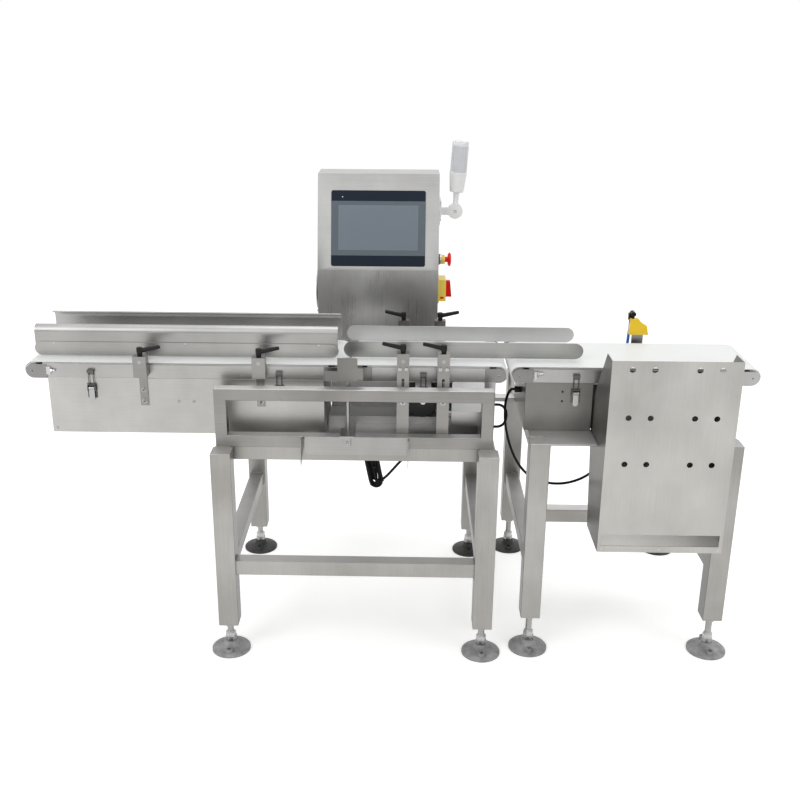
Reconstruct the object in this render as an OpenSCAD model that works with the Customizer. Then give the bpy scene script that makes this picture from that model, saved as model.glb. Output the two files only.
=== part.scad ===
// Belt checkweigher: infeed, weigh and outfeed conveyors on two leg stands, with a
// control cabinet behind the lane and a reject bin in front of it.
// Millimetres. X runs along the lane, Y from front to back, Z up from the floor.

/* [Lane] */
// Height of the belt tops above the floor
belt_top = 751; // [740:1:790]
// Length of the infeed conveyor over its belt
infeed_len = 805; // [740:1:950]
// Length of the weigh conveyor over its belt
weigh_len = 394; // [390:1:430]
// Length of the outfeed conveyor over its belt
outfeed_len = 616; // [600:1:700]
// Gap between neighbouring belts
transfer_gap = 5.5; // [3:0.5:10]
// Width of the belts
belt_w = 218; // [210:1:224]
// Thickness of the belts
belt_t = 2; // [1:0.5:3]
// Diameter of the end rollers
roller_d = 39; // [36:1:42]
// Diameter of the roller shafts
shaft_d = 12; // [10:1:15]

/* [Conveyor decks] */
// Thickness of the deck side plates
side_t = 4; // [3:0.5:5]
// Gap between a belt edge and its side plate
side_gap = 1.5; // [1:0.5:3]
// Height of the side plates and their round noses
nose_h = 34; // [30:1:36]
// Length of a nose plate
nose_len = 52; // [45:1:60]
// Thickness of a nose plate
nose_t = 3; // [2:0.5:4]
// Thickness of the slider bed under a belt
bed_t = 3; // [2:0.5:4]
// Diameter of the spacer bars between the side plates
spacer_d = 16; // [12:1:20]
// Sheet thickness of the conveyor boxes
box_t = 2; // [1.5:0.5:3]
// Length of the outfeed box
outfeed_box_len = 167; // [160:1:180]
// Distance from the outfeed belt's end to its box
outfeed_box_inset = 39; // [38:1:44]

/* [Stands] */
// Width of the square legs
leg_w = 50; // [45:1:55]
// Height of the main legs' underside above the floor
main_leg_low = 82; // [66:1:100]
// Height of the outfeed legs' underside above the floor
outfeed_leg_low = 101; // [80:1:120]
// Width of the square rails
rail_w = 38; // [34:1:42]
// Gap between the two stands
stand_gap = 75.5; // [70:0.5:85]
// Width of the outfeed stand
outfeed_w = 518; // [510:1:530]
// Depth of both stands
stand_depth = 615; // [600:1:640]
// Height of the main stand's top
main_top = 560; // [554:1:566]
// Height of the outfeed stand's top
outfeed_top = 586; // [580:1:590]
// How far the main stand reaches under the infeed conveyor
main_under = 328; // [310:1:340]
// Distance from the outfeed belt's start to its stand
outfeed_inset = 45.5; // [43:0.5:48]
// Distance from the lane's centre to the front of the main stand
main_front = 238; // [232:1:244]
// Distance from the lane's centre to the front of the outfeed stand
outfeed_front = 211; // [205:1:217]
// Height of the stretchers' underside
stretcher_z = 228; // [200:1:250]
// Distance from the lane's centre to the front of the front rail
front_rail_y = 176; // [172:1:180]
// Distance from the lane's centre to the front of the middle rail
mid_rail_y = 92; // [88:1:96]
// Thickness of the bearer bars under the infeed box
bearer_t = 6; // [5:1:10]
// Thickness of the outfeed stand's top plate
top_plate_t = 4; // [3:1:6]

/* [Feet] */
// Diameter of the foot pads
pad_d = 100; // [90:1:110]
// Height of the foot pads
pad_h = 18; // [16:1:22]
// Diameter of the foot studs
stud_d = 16; // [12:1:20]
// Diameter of the bolt holes in the pad lugs
lug_bore = 11; // [9:1:13]

/* [Guard and tray] */
// Width of the guard frame's tube
guard_t = 30; // [26:1:32]
// Height of the guard frame
guard_h = 151; // [145:1:155]
// Length of the guard frame
guard_len = 683; // [675:1:690]
// Thickness of the tray floor
tray_t = 3; // [2:0.5:4]
// Height of the strip in front of the guard
strip_h = 47; // [40:1:55]
// Length of the strip in front of the guard
strip_len = 257; // [240:1:270]
// Depth of the strip's side ears
ear_depth = 20; // [16:1:30]
// Height of the strip's side ears
ear_h = 73; // [60:1:80]

/* [Guides] */
// Height of the infeed guide strips
infeed_strip_h = 35; // [32:1:38]
// Height of the weigh guide strips
weigh_strip_h = 40; // [36:1:44]
// Thickness of the guide strips
guide_t = 3; // [2:0.5:4]
// Radius of the infeed guides' curled edge
curl_r = 17; // [14:1:20]
// Distance from the lane's centre to the infeed front guide
infeed_front_y = 64; // [55:1:70]
// Distance from the lane's centre to the infeed rear guide
infeed_rear_y = 102; // [95:1:105]
// Distance from the lane's centre to the weigh front guide
weigh_front_y = 53; // [48:1:60]
// Distance from the lane's centre to the weigh rear guide
weigh_rear_y = 98; // [92:1:104]
// Diameter of the guide rods
rod_d = 10; // [8:1:11]
// Length of a clamp lever's arm
lever_len = 52; // [45:1:60]
// Diameter of a clamp lever's hub
hub_d = 15; // [14:1:18]
// Height of a clamp lever's hub
hub_h = 21; // [18:1:24]

/* [Reject bin] */
// Width of the reject bin
bin_w = 300; // [280:1:300]
// Distance from the lane's centre to the bin's front
bin_reach = 293; // [285:1:305]
// Height of the bin's floor
bin_low = 340; // [320:1:350]
// Height of the bin's top
bin_high = 825; // [800:1:840]
// Sheet thickness of the bin
bin_t = 2; // [1.5:0.5:3]
// Diameter of the holes in the bin's front
bin_hole_d = 14; // [10:1:18]

/* [Cabinet] */
// Width of the control cabinet
cab_w = 350; // [340:1:360]
// Depth of the control cabinet with its door
cab_depth = 180; // [170:1:200]
// Height of the cabinet's underside
cab_low = 515; // [512:1:518]
// Height of the bend in the cabinet's front
cab_bend = 883; // [875:1:890]
// Height of the cabinet's top
cab_high = 1150; // [1145:1:1170]
// How far the sloping front leans back
cab_lean = 70; // [60:1:75]
// Sheet thickness of the cabinet
cab_t = 2; // [1.5:0.5:3]
// Thickness of the cabinet's door
door_t = 15; // [12:1:18]
// Width of the touch screen's bezel
screen_w = 271; // [260:1:280]
// Height of the touch screen's bezel
screen_h = 216; // [206:1:220]
// Diameter of the signal lamp's lens
lamp_d = 50; // [44:1:54]
// Length of the signal lamp above its knuckle
lamp_len = 198; // [180:1:210]
// Diameter of the emergency stop's head
stop_d = 40; // [36:1:44]

/* [Fits] */
// Radial play of a turning shaft
turn_fit = 0.05; // [0.02:0.01:0.1]
// Radial play of a sliding rod
slide_fit = 0.1; // [0.05:0.01:0.2]
// Gap between a belt and what it runs on
run_gap = 0.3; // [0.2:0.1:0.6]
// Gap between a turning piece and the face under it
face_gap = 0.3; // [0.2:0.1:0.5]

/* [Hidden] */
$fn = 48;
eps = 0.5;

// Lane: the part's own Y and X are centred on its box
cab_front = stand_depth - main_front;
cab_rear = cab_front + cab_depth;
lane_y = (bin_reach - cab_rear) / 2;
total_len = infeed_len + weigh_len + outfeed_len + 2 * transfer_gap;
infeed_x0 = -total_len / 2;
infeed_x1 = infeed_x0 + infeed_len;
weigh_x0 = infeed_x1 + transfer_gap;
weigh_x1 = weigh_x0 + weigh_len;
outfeed_x0 = weigh_x1 + transfer_gap;
outfeed_x1 = outfeed_x0 + outfeed_len;

// Belt section, measured from the belt top downwards
bed_top = belt_top - belt_t - run_gap;
axis_z = bed_top - roller_d / 2;
nose_r = roller_d / 2 + run_gap + belt_t;
deck_in = belt_w / 2 + side_gap;
deck_out = deck_in + side_t;
deck_low = axis_z - nose_h / 2;
bed_flange = 2;
shaft_end_gap = 0.4;
infeed_drive_x = infeed_x1 - nose_r;
infeed_tail_x = infeed_x0 + nose_r;
weigh_drive_x = weigh_x1 - nose_r;
weigh_tail_x = weigh_x0 + nose_r;
outfeed_drive_x = outfeed_x0 + nose_r;
outfeed_tail_x = outfeed_x1 - nose_r;

// Toothed belt drives on the rear of the decks
pulley_r = 14;
pulley_teeth = 18;
tooth_r = 1.2;
pulley_w = 10;
pulley_y = deck_out + nose_t + 2;
motor_shaft_r = 5;
motor_w = 80;
gear_len = 42;
motor_len = 130;
shaft_seat = 20;
drive_belt_t = 2;
cover_t = 1.5;
cover_room = 3.5;
cover_r = pulley_r + run_gap + drive_belt_t + cover_room + cover_t;
cover_y = deck_out + nose_t;
cover_depth = pulley_w + 2 + cover_room + cover_t;
shaft_hole_r = 12;
infeed_motor = [infeed_drive_x - 130, deck_low - 62];
weigh_motor = [weigh_drive_x - 188, deck_low - 76];
outfeed_motor = [outfeed_drive_x + 100, deck_low - 62];

// Stands
main_x0 = infeed_x1 - main_under;
out_x0 = outfeed_x0 + outfeed_inset;
main_x1 = out_x0 - stand_gap;
main_w = main_x1 - main_x0;
out_x1 = out_x0 + outfeed_w;
main_y0 = -main_front;
main_y1 = main_y0 + stand_depth;
out_y0 = -outfeed_front;
out_y1 = out_y0 + stand_depth;
rail_inset = (leg_w - rail_w) / 2;
stretch_w = rail_w;
bearer_w = 40;
rear_rail_y = deck_out;
link_y = mid_rail_y + 110;
box_x0 = infeed_x0 + nose_r - nose_h / 2 + nose_len;
box_x1 = infeed_x1 - nose_r + nose_h / 2 - nose_len;
infeed_box_low = main_top + bearer_t;
outfeed_box_x0 = outfeed_x0 + outfeed_box_inset;
outfeed_box_x1 = outfeed_box_x0 + outfeed_box_len;
box_end_top = axis_z - nose_r - 3;

// Guard frame and the tray behind it
guard_x0 = main_x0 + (main_w - guard_len) / 2 - 3;
guard_x1 = guard_x0 + guard_len;
guard_y1 = -front_rail_y + 18;
guard_y0 = guard_y1 - guard_t;
guard_z1 = main_top + guard_h;
tray_under = 14;
tray_x0 = box_x1 - tray_under;
tray_wall_x0 = box_x1 + 2;
tray_wall_t = 2;
tray_wall_low = 24;
tray_wall_high = 118;
tray_x1 = main_x1 - 12;
tray_y0 = guard_y1 + 2;
tray_y1 = mid_rail_y + 18;
tray_top = main_top + tray_t;
strip_t = 2;
strip_x0 = main_x0 + 226;
strip_z1 = main_top + guard_t;
ear_turn = 25;

// Weigh section
hanger_x0 = weigh_x1 - 138;
hanger_x1 = weigh_x1 - 30;
hanger_low = tray_top + 32;
motor_plate_w = 96;
live_z = tray_top + 64;
live_t = 6;
cell_x0 = weigh_motor[0] + motor_w / 2 + 9;
cell_len = 120;
cell_w = 40;
cell_seat = 35;
beam_h = 20;
cell_z0 = tray_top + 22;
cell_z1 = live_z - 2;
cell_bore_r = 13;
meter_x0 = cell_x0 + 92;
meter_x1 = tray_x1 - 4;
meter_y0 = -deck_in + 10;
meter_y1 = -40;
meter_z1 = tray_top + 84;

// Guides, their posts and clamp levers
guide_low = belt_top + 4;
infeed_guide_x0 = infeed_x0 + 14;
infeed_guide_x1 = infeed_x1 - 23;
weigh_guide_x0 = weigh_x0 - 16;
weigh_guide_x1 = outfeed_x0 + 186;
curl_rise = 24;
curl_t = 2;
infeed_post_x = [infeed_x0 + 297, infeed_x0 + 590];
weigh_post_x = [weigh_x0 + 134, weigh_x0 + 232.5];
infeed_rod_z = guide_low + 7;
weigh_rod_z = guide_low + 21;
infeed_head_w = 33;
weigh_head_w = 30;
head_low = deck_low + 10;
infeed_head_z = infeed_rod_z + 14;
weigh_head_z = weigh_rod_z + 19;
weigh_head_low = weigh_rod_z - 12;
strap_t = 3;
strap_w = 20;
strap_low = deck_low - 71;
post_t = 4;
post_end = 17;
post_slot_r = 3.5;
front_head_y0 = -deck_out - 28.5;
front_head_y1 = -deck_out - strap_t;
weigh_head_y0 = guard_y1;
weigh_head_y1 = guard_y1 + 24;
rear_head_y0 = deck_out + 35.5;
rear_head_y1 = rear_head_y0 + 24;
front_lever_y = (front_head_y0 + front_head_y1) / 2;
weigh_lever_y = (weigh_head_y0 + weigh_head_y1) / 2;
rear_lever_y = (rear_head_y0 + rear_head_y1) / 2;
lever_stud_r = 4;
lever_stud_len = 6;
lever_tilt = 12;

// Toggle latches between the decks and what is under them
latch_y = -deck_out - 6.5;
latch_z = deck_low - 26;
latch_len = 33;
latch_w = 14;
latch_pin_r = 2;
ear_t = 2;
hook_z = deck_low + 22;
infeed_latch_x = [infeed_x0 + 167, infeed_x0 + 637];
weigh_latch_x = weigh_x0 + 184.5;
outfeed_latch_x = outfeed_x0 + 163;

// Product sensor on its post
sensor_x = weigh_x0 - 1.5;
sensor_w = 49;
sensor_z0 = deck_low + 8;
sensor_z1 = sensor_z0 + 62;
sensor_t = 3;
post_r = 4;
clamp_w = 34;
clamp_t = 6;
clamp_reach = 12;
clamp_drop = 22;

// Reject bin, with its section in Y and Z
bin_x0 = out_x0 + 164;
bin_x1 = bin_x0 + bin_w;
bin_mouth = 58;
bin_back = 91;
bin_back_z = 653;
bin_foot = 151;
bin_slot_low = 17;
bin_slot_high = 47;
chute_low = 10;
chute_high = 76;
bin_hole_x = [-102, -51, 51, 102];
bin_hole_z = [21, 138, 254];

// Air nozzle behind the outfeed belt
nozzle_x = outfeed_x0 + 339;
nozzle_y = deck_out + 22.5;
nozzle_z = belt_top + 17;
nozzle_t = 12;
nozzle_outline = [[0, 0], [51, 0], [46, 24], [30, 34], [22, 44], [3, 44], [0, 20]];
hose_r = 4;
hose_x = nozzle_x + 4;
hose_y = nozzle_y + 11;
hose_top = nozzle_z + 38;
valve_h = 40;
support_x = outfeed_x0 + 393;
support_w = 70;

// Cabinet
cab_x0 = main_x0 + 216;
cab_x1 = cab_x0 + cab_w;
cab_back = cab_rear - door_t - 1;
cab_tilt = atan2(cab_lean, cab_high - cab_bend);
screen_up = 12;
screen_t = 7;
screen_depth = 38;
screen_lip = 7;
screen_corner = 6;
hinge_x = cab_x1 + 5;
hinge_y = cab_rear - 9;
hinge_r = 5;
hinge_pin_r = 3;
hinge_len = 24;
hinge_z = [cab_low + 90, cab_high - 140];
side_y = cab_front + 48;
stop_z = cab_bend + 25;
isolator_z = cab_bend - 61;
lamp_y = cab_front + 103;
lamp_x = cab_x1 + 47.5;
lamp_z = cab_high - 109;
knuckle_r = 22;
knuckle_t = 11.7;
lamp_pin_r = 4;
lamp_stem = 54;
lamp_base_h = 57;
lamp_turn = 3.5;
gear_plate_t = 2;
gear_stand = 6;
gear_inset = 30;
gear_low = 45;
gear_high = 25;

// Leads: each starts and ends at its glands, with points between chosen by hand
lead_r = 3.5;
gland_r = 8;
gland_len = 14;
weigh_lead_x = meter_x1 + gland_len;
weigh_lead_y = (meter_y0 + meter_y1) / 2;
weigh_lead_z = [tray_top + 14, tray_top + 74];
weigh_bulge = [[0, 1], [6, 1], [14, 0.97], [23, 0.8], [29, 0.47], [31, 0], [29, -0.47], [23, -0.8],
               [14, -0.97], [6, -1], [0, -1]];
weigh_path = [
    for (p = weigh_bulge) [weigh_lead_x + p[0], weigh_lead_y,
        (weigh_lead_z[1] + weigh_lead_z[0] + p[1] * (weigh_lead_z[1] - weigh_lead_z[0])) / 2]
];
outfeed_start = [outfeed_box_x0 - gland_len, 0, outfeed_top + 69];
outfeed_end = [outfeed_x0 + 303, rear_rail_y + rail_w / 2, outfeed_top - rail_w - gland_len];
outfeed_droop = [
    [0, 0, 0], [-7, 0, 0], [-14, 0, -8], [-19, 0, -22], [-22, 0, -40], [-22, 0, -65], [-20, 0, -95],
    [-13, 0, -130], [-3, 0, -163], [11, 0, -195], [29, 0, -223], [52, 0, -245], [80, 0, -259],
    [112, 0, -266], [146, 0, -265], [178, 2, -257], [208, 9, -244], [234, 24, -227], [255, 48, -207],
    [268, 78, -183], [275, 106, -158]
];
outfeed_path = concat(
    [for (p = outfeed_droop) outfeed_start + p],
    [outfeed_end + [0, -5, -17], outfeed_end + [0, 0, -8], outfeed_end]
);
spare_start = [outfeed_x0 - 227, -60, main_top - gland_len];
spare_droop = [
    [0, 0, 0], [0, 0, -12], [-5, 0, -27], [-17, 0, -44], [-32, 0, -61], [-48, 0, -79], [-63, 0, -97],
    [-77, 0, -114], [-86, 0, -123]
];
spare_path = [for (p = spare_droop) spare_start + p];
hose_path = [
    [hose_x, hose_y, hose_top], [hose_x, hose_y, hose_top - 20], [hose_x - 2, hose_y, hose_top - 50],
    [hose_x - 3, hose_y, hose_top - 85], [hose_x - 2, hose_y, hose_top - 125],
    [hose_x, hose_y, outfeed_top + valve_h + 20], [hose_x, hose_y, outfeed_top + valve_h]
];
hank_top = [spare_start[0] - 130, main_top - 24];
hank_low = [spare_start[0] - 106, main_top - 142];
hank_r = 18;
hank_t = 24;
hank_y = spare_start[1];
tie_w = 26;

// Shapes that repeat
module on_lane() translate([0, lane_y, 0]) children();
module slab(x, y, z) translate([x[0], y[0], z[0]]) cube([x[1] - x[0], y[1] - y[0], z[1] - z[0]]);
module bar_x(y, z, r, x0, x1) translate([x0, y, z]) rotate([0, 90, 0]) cylinder(r = r, h = x1 - x0);
module bar_y(x, z, r, y0, y1) translate([x, y0, z]) rotate([-90, 0, 0]) cylinder(r = r, h = y1 - y0);
module bar_z(x, y, r, z0, z1) translate([x, y, z0]) cylinder(r = r, h = z1 - z0);
module sheet_y(y0, y1) translate([0, y1, 0]) rotate([90, 0, 0]) linear_extrude(y1 - y0) children();
module sheet_x(x0, x1) translate([x0, 0, 0]) rotate([90, 0, 90]) linear_extrude(x1 - x0) children();
module both_sides() for (side = [0, 1]) mirror([0, side, 0]) children();

// Rectangle with round corners about its middle
module round_rect(w, h, r) {
    square([w - 2 * r, h], center = true);
    square([w, h - 2 * r], center = true);
    for (x = [-1, 1], y = [-1, 1]) translate([x * (w / 2 - r), y * (h / 2 - r)]) circle(r);
}

// Outline with round ends about two points
module round_strip(a, b, r) {
    d = b - a;
    translate(a) rotate(atan2(d[1], d[0])) {
        translate([0, -r]) square([norm(d), 2 * r]);
        circle(r);
        translate([norm(d), 0]) circle(r);
    }
}

// Tube swept along a list of points
function unit(v) = v / norm(v);
function tangent(p, i) = unit(p[min(i + 1, len(p) - 1)] - p[max(i - 1, 0)]);
function across(t) = unit([0, 1, 0] - t[1] * t);
module swept_tube(p, r, sides = 8) {
    rings = [
        for (i = [0:len(p) - 1]) let (t = tangent(p, i), b = across(t), n = cross(b, t))
            for (k = [0:sides - 1]) p[i] + r * (cos(360 * k / sides) * n + sin(360 * k / sides) * b)
    ];
    walls = [
        for (i = [0:len(p) - 2]) for (k = [0:sides - 1]) let (m = (k + 1) % sides)
            [i * sides + k, i * sides + m, (i + 1) * sides + m, (i + 1) * sides + k]
    ];
    first = [for (k = [sides - 1:-1:0]) k];
    last = [for (k = [0:sides - 1]) (len(p) - 1) * sides + k];
    polyhedron(rings, concat([first], walls, [last]));
}

// Stands
module legs(x0, x1, y0, y1, low, top) {
    for (x = [x0, x1 - leg_w], y = [y0, y1 - leg_w])
        slab([x, x + leg_w], [y, y + leg_w], [low, top]);
}
module side_rails(x0, x1, y0, y1, z0, z1) {
    for (x = [x0 + rail_inset, x1 - rail_inset - rail_w])
        slab([x, x + rail_w], [y0 + leg_w, y1 - leg_w], [z0, z1]);
}
module main_stand() color("silver") on_lane() {
    inner = [main_x0 + rail_inset + rail_w, main_x1 - rail_inset - rail_w];
    between = [main_x0 + leg_w, main_x1 - leg_w];
    legs(main_x0, main_x1, main_y0, main_y1, main_leg_low, main_top);
    side_rails(main_x0, main_x1, main_y0, main_y1, main_top - rail_w, main_top);
    side_rails(main_x0, main_x1, main_y0, main_y1, stretcher_z, stretcher_z + stretch_w);
    slab(between, [main_y0 + rail_inset, main_y0 + rail_inset + rail_w],
         [stretcher_z, stretcher_z + stretch_w]);
    for (y = [-front_rail_y, mid_rail_y])
        slab(inner, [y, y + rail_w], [main_top - rail_w, main_top]);
    slab(between, [main_y1 - leg_w, main_y1], [main_top - leg_w, main_top]);
    slab([main_x1 - rail_inset, out_x0 + rail_inset], [link_y, link_y + rail_w],
         [outfeed_top - rail_w, main_top]);
    for (x = [main_x0 + 16, box_x1 - 56])
        slab([x, x + bearer_w], [guard_y1 + 2, mid_rail_y + rail_w], [main_top, infeed_box_low]);
}
module outfeed_stand() color("silver") on_lane() {
    inner = [out_x0 + rail_inset + rail_w, out_x1 - rail_inset - rail_w];
    legs(out_x0, out_x1, out_y0, out_y1, outfeed_leg_low, outfeed_top);
    side_rails(out_x0, out_x1, out_y0, out_y1, outfeed_top - rail_w, outfeed_top);
    side_rails(out_x0, out_x1, out_y0, out_y1, stretcher_z, stretcher_z + stretch_w);
    slab(inner, [mid_rail_y, mid_rail_y + rail_w], [stretcher_z, stretcher_z + stretch_w]);
    slab(inner, [rear_rail_y, rear_rail_y + rail_w], [outfeed_top - rail_w, outfeed_top]);
    slab([inner[0], bin_x0], [out_y0, rear_rail_y], [outfeed_top - top_plate_t, outfeed_top]);
    slab([support_x, support_x + support_w], [deck_out, deck_out + 6], [outfeed_top, deck_low + nose_h - 6]);
}

// One levelling foot: pad with two bolt lugs, ball neck, stud and lock nut
module foot(height) {
    rim_h = 7;
    neck_r = 15;
    lug_at = pad_d / 2 - 15;
    difference() {
        union() {
            rotate_extrude() polygon([
                [0, 0], [pad_d / 2, 0], [pad_d / 2, rim_h - 2], [pad_d / 2 - 2, rim_h],
                [neck_r + 6, pad_h - 3], [neck_r, pad_h + 8], [stud_d / 2, pad_h + 10], [0, pad_h + 10]
            ]);
            for (side = [-1, 1]) translate([0, side * lug_at, 0]) cylinder(d = lug_bore + 6, h = pad_h + 2);
        }
        for (side = [-1, 1]) translate([0, side * lug_at, -1]) cylinder(d = lug_bore, h = pad_h + 4);
    }
    cylinder(d = stud_d, h = height);
    for (z = [pad_h + 10, height - 10]) translate([0, 0, z]) cylinder(d = stud_d + 12, h = 10, $fn = 6);
}
module levelling_feet() color("dimgray") on_lane() {
    for (x = [main_x0 + leg_w / 2, main_x1 - leg_w / 2], y = [main_y0 + leg_w / 2, main_y1 - leg_w / 2])
        translate([x, y, 0]) foot(main_leg_low);
    for (x = [out_x0 + leg_w / 2, out_x1 - leg_w / 2], y = [out_y0 + leg_w / 2, out_y1 - leg_w / 2])
        translate([x, y, 0]) foot(outfeed_leg_low);
}

// Guard frame in front of the weigh section
module guard_frame() color("silver") on_lane() difference() {
    slab([guard_x0, guard_x1], [guard_y0, guard_y1], [main_top, guard_z1]);
    slab([guard_x0 + guard_t, guard_x1 - guard_t], [guard_y0 - 1, guard_y1 + 1],
         [main_top + guard_t, guard_z1 - guard_t]);
}

// Tray under the weigh section with its rear wall and cell beam, and the strip on the guard
module weigh_tray() color("silver") on_lane() {
    wall_x1 = weigh_motor[0] - motor_plate_w / 2 - 4;
    slab([tray_x0, tray_x1], [tray_y0, tray_y1], [main_top, tray_top]);
    slab([tray_wall_x0, tray_x1], [tray_y1 - tray_wall_t, tray_y1], [main_top, tray_top + tray_wall_low]);
    slab([tray_wall_x0, wall_x1], [tray_y1 - tray_wall_t, tray_y1], [main_top, tray_top + tray_wall_high]);
    slab([tray_wall_x0, tray_x1], [-cell_w / 2, cell_w / 2], [main_top, tray_top + beam_h]);
    slab([strip_x0, strip_x0 + strip_len], [guard_y0 - strip_t, guard_y0], [strip_z1 - strip_h, strip_z1]);
    translate([strip_x0, guard_y0 - strip_t, 0]) rotate(-ear_turn) strip_ear();
    translate([strip_x0 + strip_len - strip_t, guard_y0 - strip_t, 0]) strip_ear();
    slab([hank_top[0] - tie_w / 2, hank_top[0] + tie_w / 2], [hank_y - tie_w / 2, hank_y + tie_w / 2],
         [hank_top[1] + hank_r + face_gap, main_top]);
}
module strip_ear() sheet_x(0, strip_t)
    polygon([[0, strip_z1], [-ear_depth, strip_z1], [-ear_depth, strip_z1 - ear_h]]);

// Conveyor boxes: open-topped trays that the decks sit on
module conveyor_box(x0, x1, low, motor) difference() {
    slab([x0, x1], [-deck_out, deck_out], [low, deck_low]);
    slab([x0 + box_t, x1 - box_t], [-deck_out + box_t, deck_out - box_t], [low + box_t, deck_low + 1]);
    slab([x0 - 1, x1 + 1], [-deck_out + box_t, deck_out - box_t], [box_end_top, deck_low + 1]);
    bar_y(motor[0], motor[1], shaft_hole_r, 0, deck_out + 1);
}
module infeed_box() color("silver") on_lane() conveyor_box(box_x0, box_x1, infeed_box_low, infeed_motor);
module outfeed_box() color("silver") on_lane()
    conveyor_box(outfeed_box_x0, outfeed_box_x1, outfeed_top, outfeed_motor);

// Decks: two side plates with nose plates, spacers and a slider bed
module nose_plate(x, way) {
    translate([x, axis_z]) circle(nose_h / 2);
    translate([min(x, x + way * (nose_len - nose_h / 2)), axis_z - nose_h / 2])
        square([nose_len - nose_h / 2, nose_h]);
}
module deck(x0, x1, drive_x) difference() {
    ends = [x0 + nose_r, x1 - nose_r];
    bed = [ends[0] + roller_d / 2 + 4, ends[1] - roller_d / 2 - 4];
    union() {
        both_sides() {
            sheet_y(deck_in, deck_out) round_strip([ends[0], axis_z], [ends[1], axis_z], nose_h / 2);
            sheet_y(deck_out, deck_out + nose_t) nose_plate(ends[0], 1);
            sheet_y(deck_out, deck_out + nose_t) nose_plate(ends[1], -1);
            slab(bed, [deck_in - bed_flange, deck_in], [axis_z, bed_top]);
        }
        slab(bed, [-deck_in, deck_in], [bed_top - bed_t, bed_top]);
        for (x = [bed[0] + 60, bed[1] - 60]) bar_y(x, axis_z - 4, spacer_d / 2, -deck_in, deck_in);
    }
    for (x = ends) {
        bar_y(x, axis_z, shaft_d / 2 + turn_fit, -deck_out, deck_out);
        bar_y(x, axis_z, 2, -deck_out - nose_t - 1, -deck_out + 1);
    }
    bar_y(drive_x, axis_z, shaft_d / 2 + turn_fit, 0, deck_out + nose_t + 1);
}
module infeed_deck() color("lightgray") on_lane() deck(infeed_x0, infeed_x1, infeed_drive_x);
module outfeed_deck() color("lightgray") on_lane() deck(outfeed_x0, outfeed_x1, outfeed_drive_x);

// The weigh deck also has its hangers, the live plate on the load cell and the motor plate
module weigh_deck() color("lightgray") on_lane() {
    deck(weigh_x0, weigh_x1, weigh_drive_x);
    both_sides() slab([hanger_x0, hanger_x1], [deck_in, deck_out], [hanger_low, axis_z]);
    slab([weigh_latch_x - 20, weigh_latch_x + 20], [-deck_out, -deck_in], [latch_z - 30, axis_z]);
    slab([cell_x0 - 2, meter_x0 - 7], [-deck_in, deck_in], [live_z, live_z + live_t]);
    difference() {
        slab([weigh_motor[0] - motor_plate_w / 2, weigh_motor[0] + motor_plate_w / 2], [deck_in, deck_out],
             [weigh_motor[1] - motor_w / 2, axis_z]);
        bar_y(weigh_motor[0], weigh_motor[1], shaft_hole_r, 0, deck_out + 1);
    }
}

// Single-point load cell between its two seats, and the meter box it is read by
module load_cell() color("gainsboro") on_lane() {
    y = [-cell_w / 2, cell_w / 2];
    middle_z = (cell_z0 + cell_z1) / 2;
    difference() {
        slab([cell_x0, cell_x0 + cell_len], y, [cell_z0, cell_z1]);
        for (way = [-1, 1])
            bar_y(cell_x0 + cell_len / 2 + way * cell_bore_r * 0.8, middle_z, cell_bore_r,
                  y[0] - 1, y[1] + 1);
    }
    slab([cell_x0 + cell_len - cell_seat, cell_x0 + cell_len], y, [tray_top + beam_h, cell_z0]);
    slab([cell_x0, cell_x0 + cell_seat], y, [cell_z1, live_z]);
    slab([meter_x0, meter_x1], [meter_y0, meter_y1], [tray_top, meter_z1]);
}

// Flat belts round their rollers
module belt_loop(x0, x1) sheet_y(-belt_w / 2, belt_w / 2) difference() {
    round_strip([x0 + nose_r, axis_z], [x1 - nose_r, axis_z], nose_r);
    round_strip([x0 + nose_r, axis_z], [x1 - nose_r, axis_z], nose_r - belt_t);
}
module infeed_belt() color("white") on_lane() belt_loop(infeed_x0, infeed_x1);
module weigh_belt() color("white") on_lane() belt_loop(weigh_x0, weigh_x1);
module outfeed_belt() color("white") on_lane() belt_loop(outfeed_x0, outfeed_x1);

// End rollers and toothed pulleys
module pulley(x, z) difference() {
    bar_y(x, z, pulley_r, pulley_y, pulley_y + pulley_w);
    for (k = [1:pulley_teeth])
        bar_y(x + pulley_r * cos(360 * k / pulley_teeth), z + pulley_r * sin(360 * k / pulley_teeth), tooth_r,
              pulley_y - 1, pulley_y + pulley_w + 1);
}
module tail_roller(x) {
    bar_y(x, axis_z, roller_d / 2, -belt_w / 2, belt_w / 2);
    bar_y(x, axis_z, shaft_d / 2, -deck_out + shaft_end_gap, deck_out - shaft_end_gap);
}
module drive_roller(x) {
    bar_y(x, axis_z, roller_d / 2, -belt_w / 2, belt_w / 2);
    bar_y(x, axis_z, shaft_d / 2, -deck_out + shaft_end_gap, pulley_y + eps);
    pulley(x, axis_z);
}
module infeed_drive_roller() color("gray") on_lane() drive_roller(infeed_drive_x);
module infeed_tail_roller() color("gray") on_lane() tail_roller(infeed_tail_x);
module weigh_drive_roller() color("gray") on_lane() drive_roller(weigh_drive_x);
module weigh_tail_roller() color("gray") on_lane() tail_roller(weigh_tail_x);
module outfeed_drive_roller() color("gray") on_lane() drive_roller(outfeed_drive_x);
module outfeed_tail_roller() color("gray") on_lane() tail_roller(outfeed_tail_x);

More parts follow.
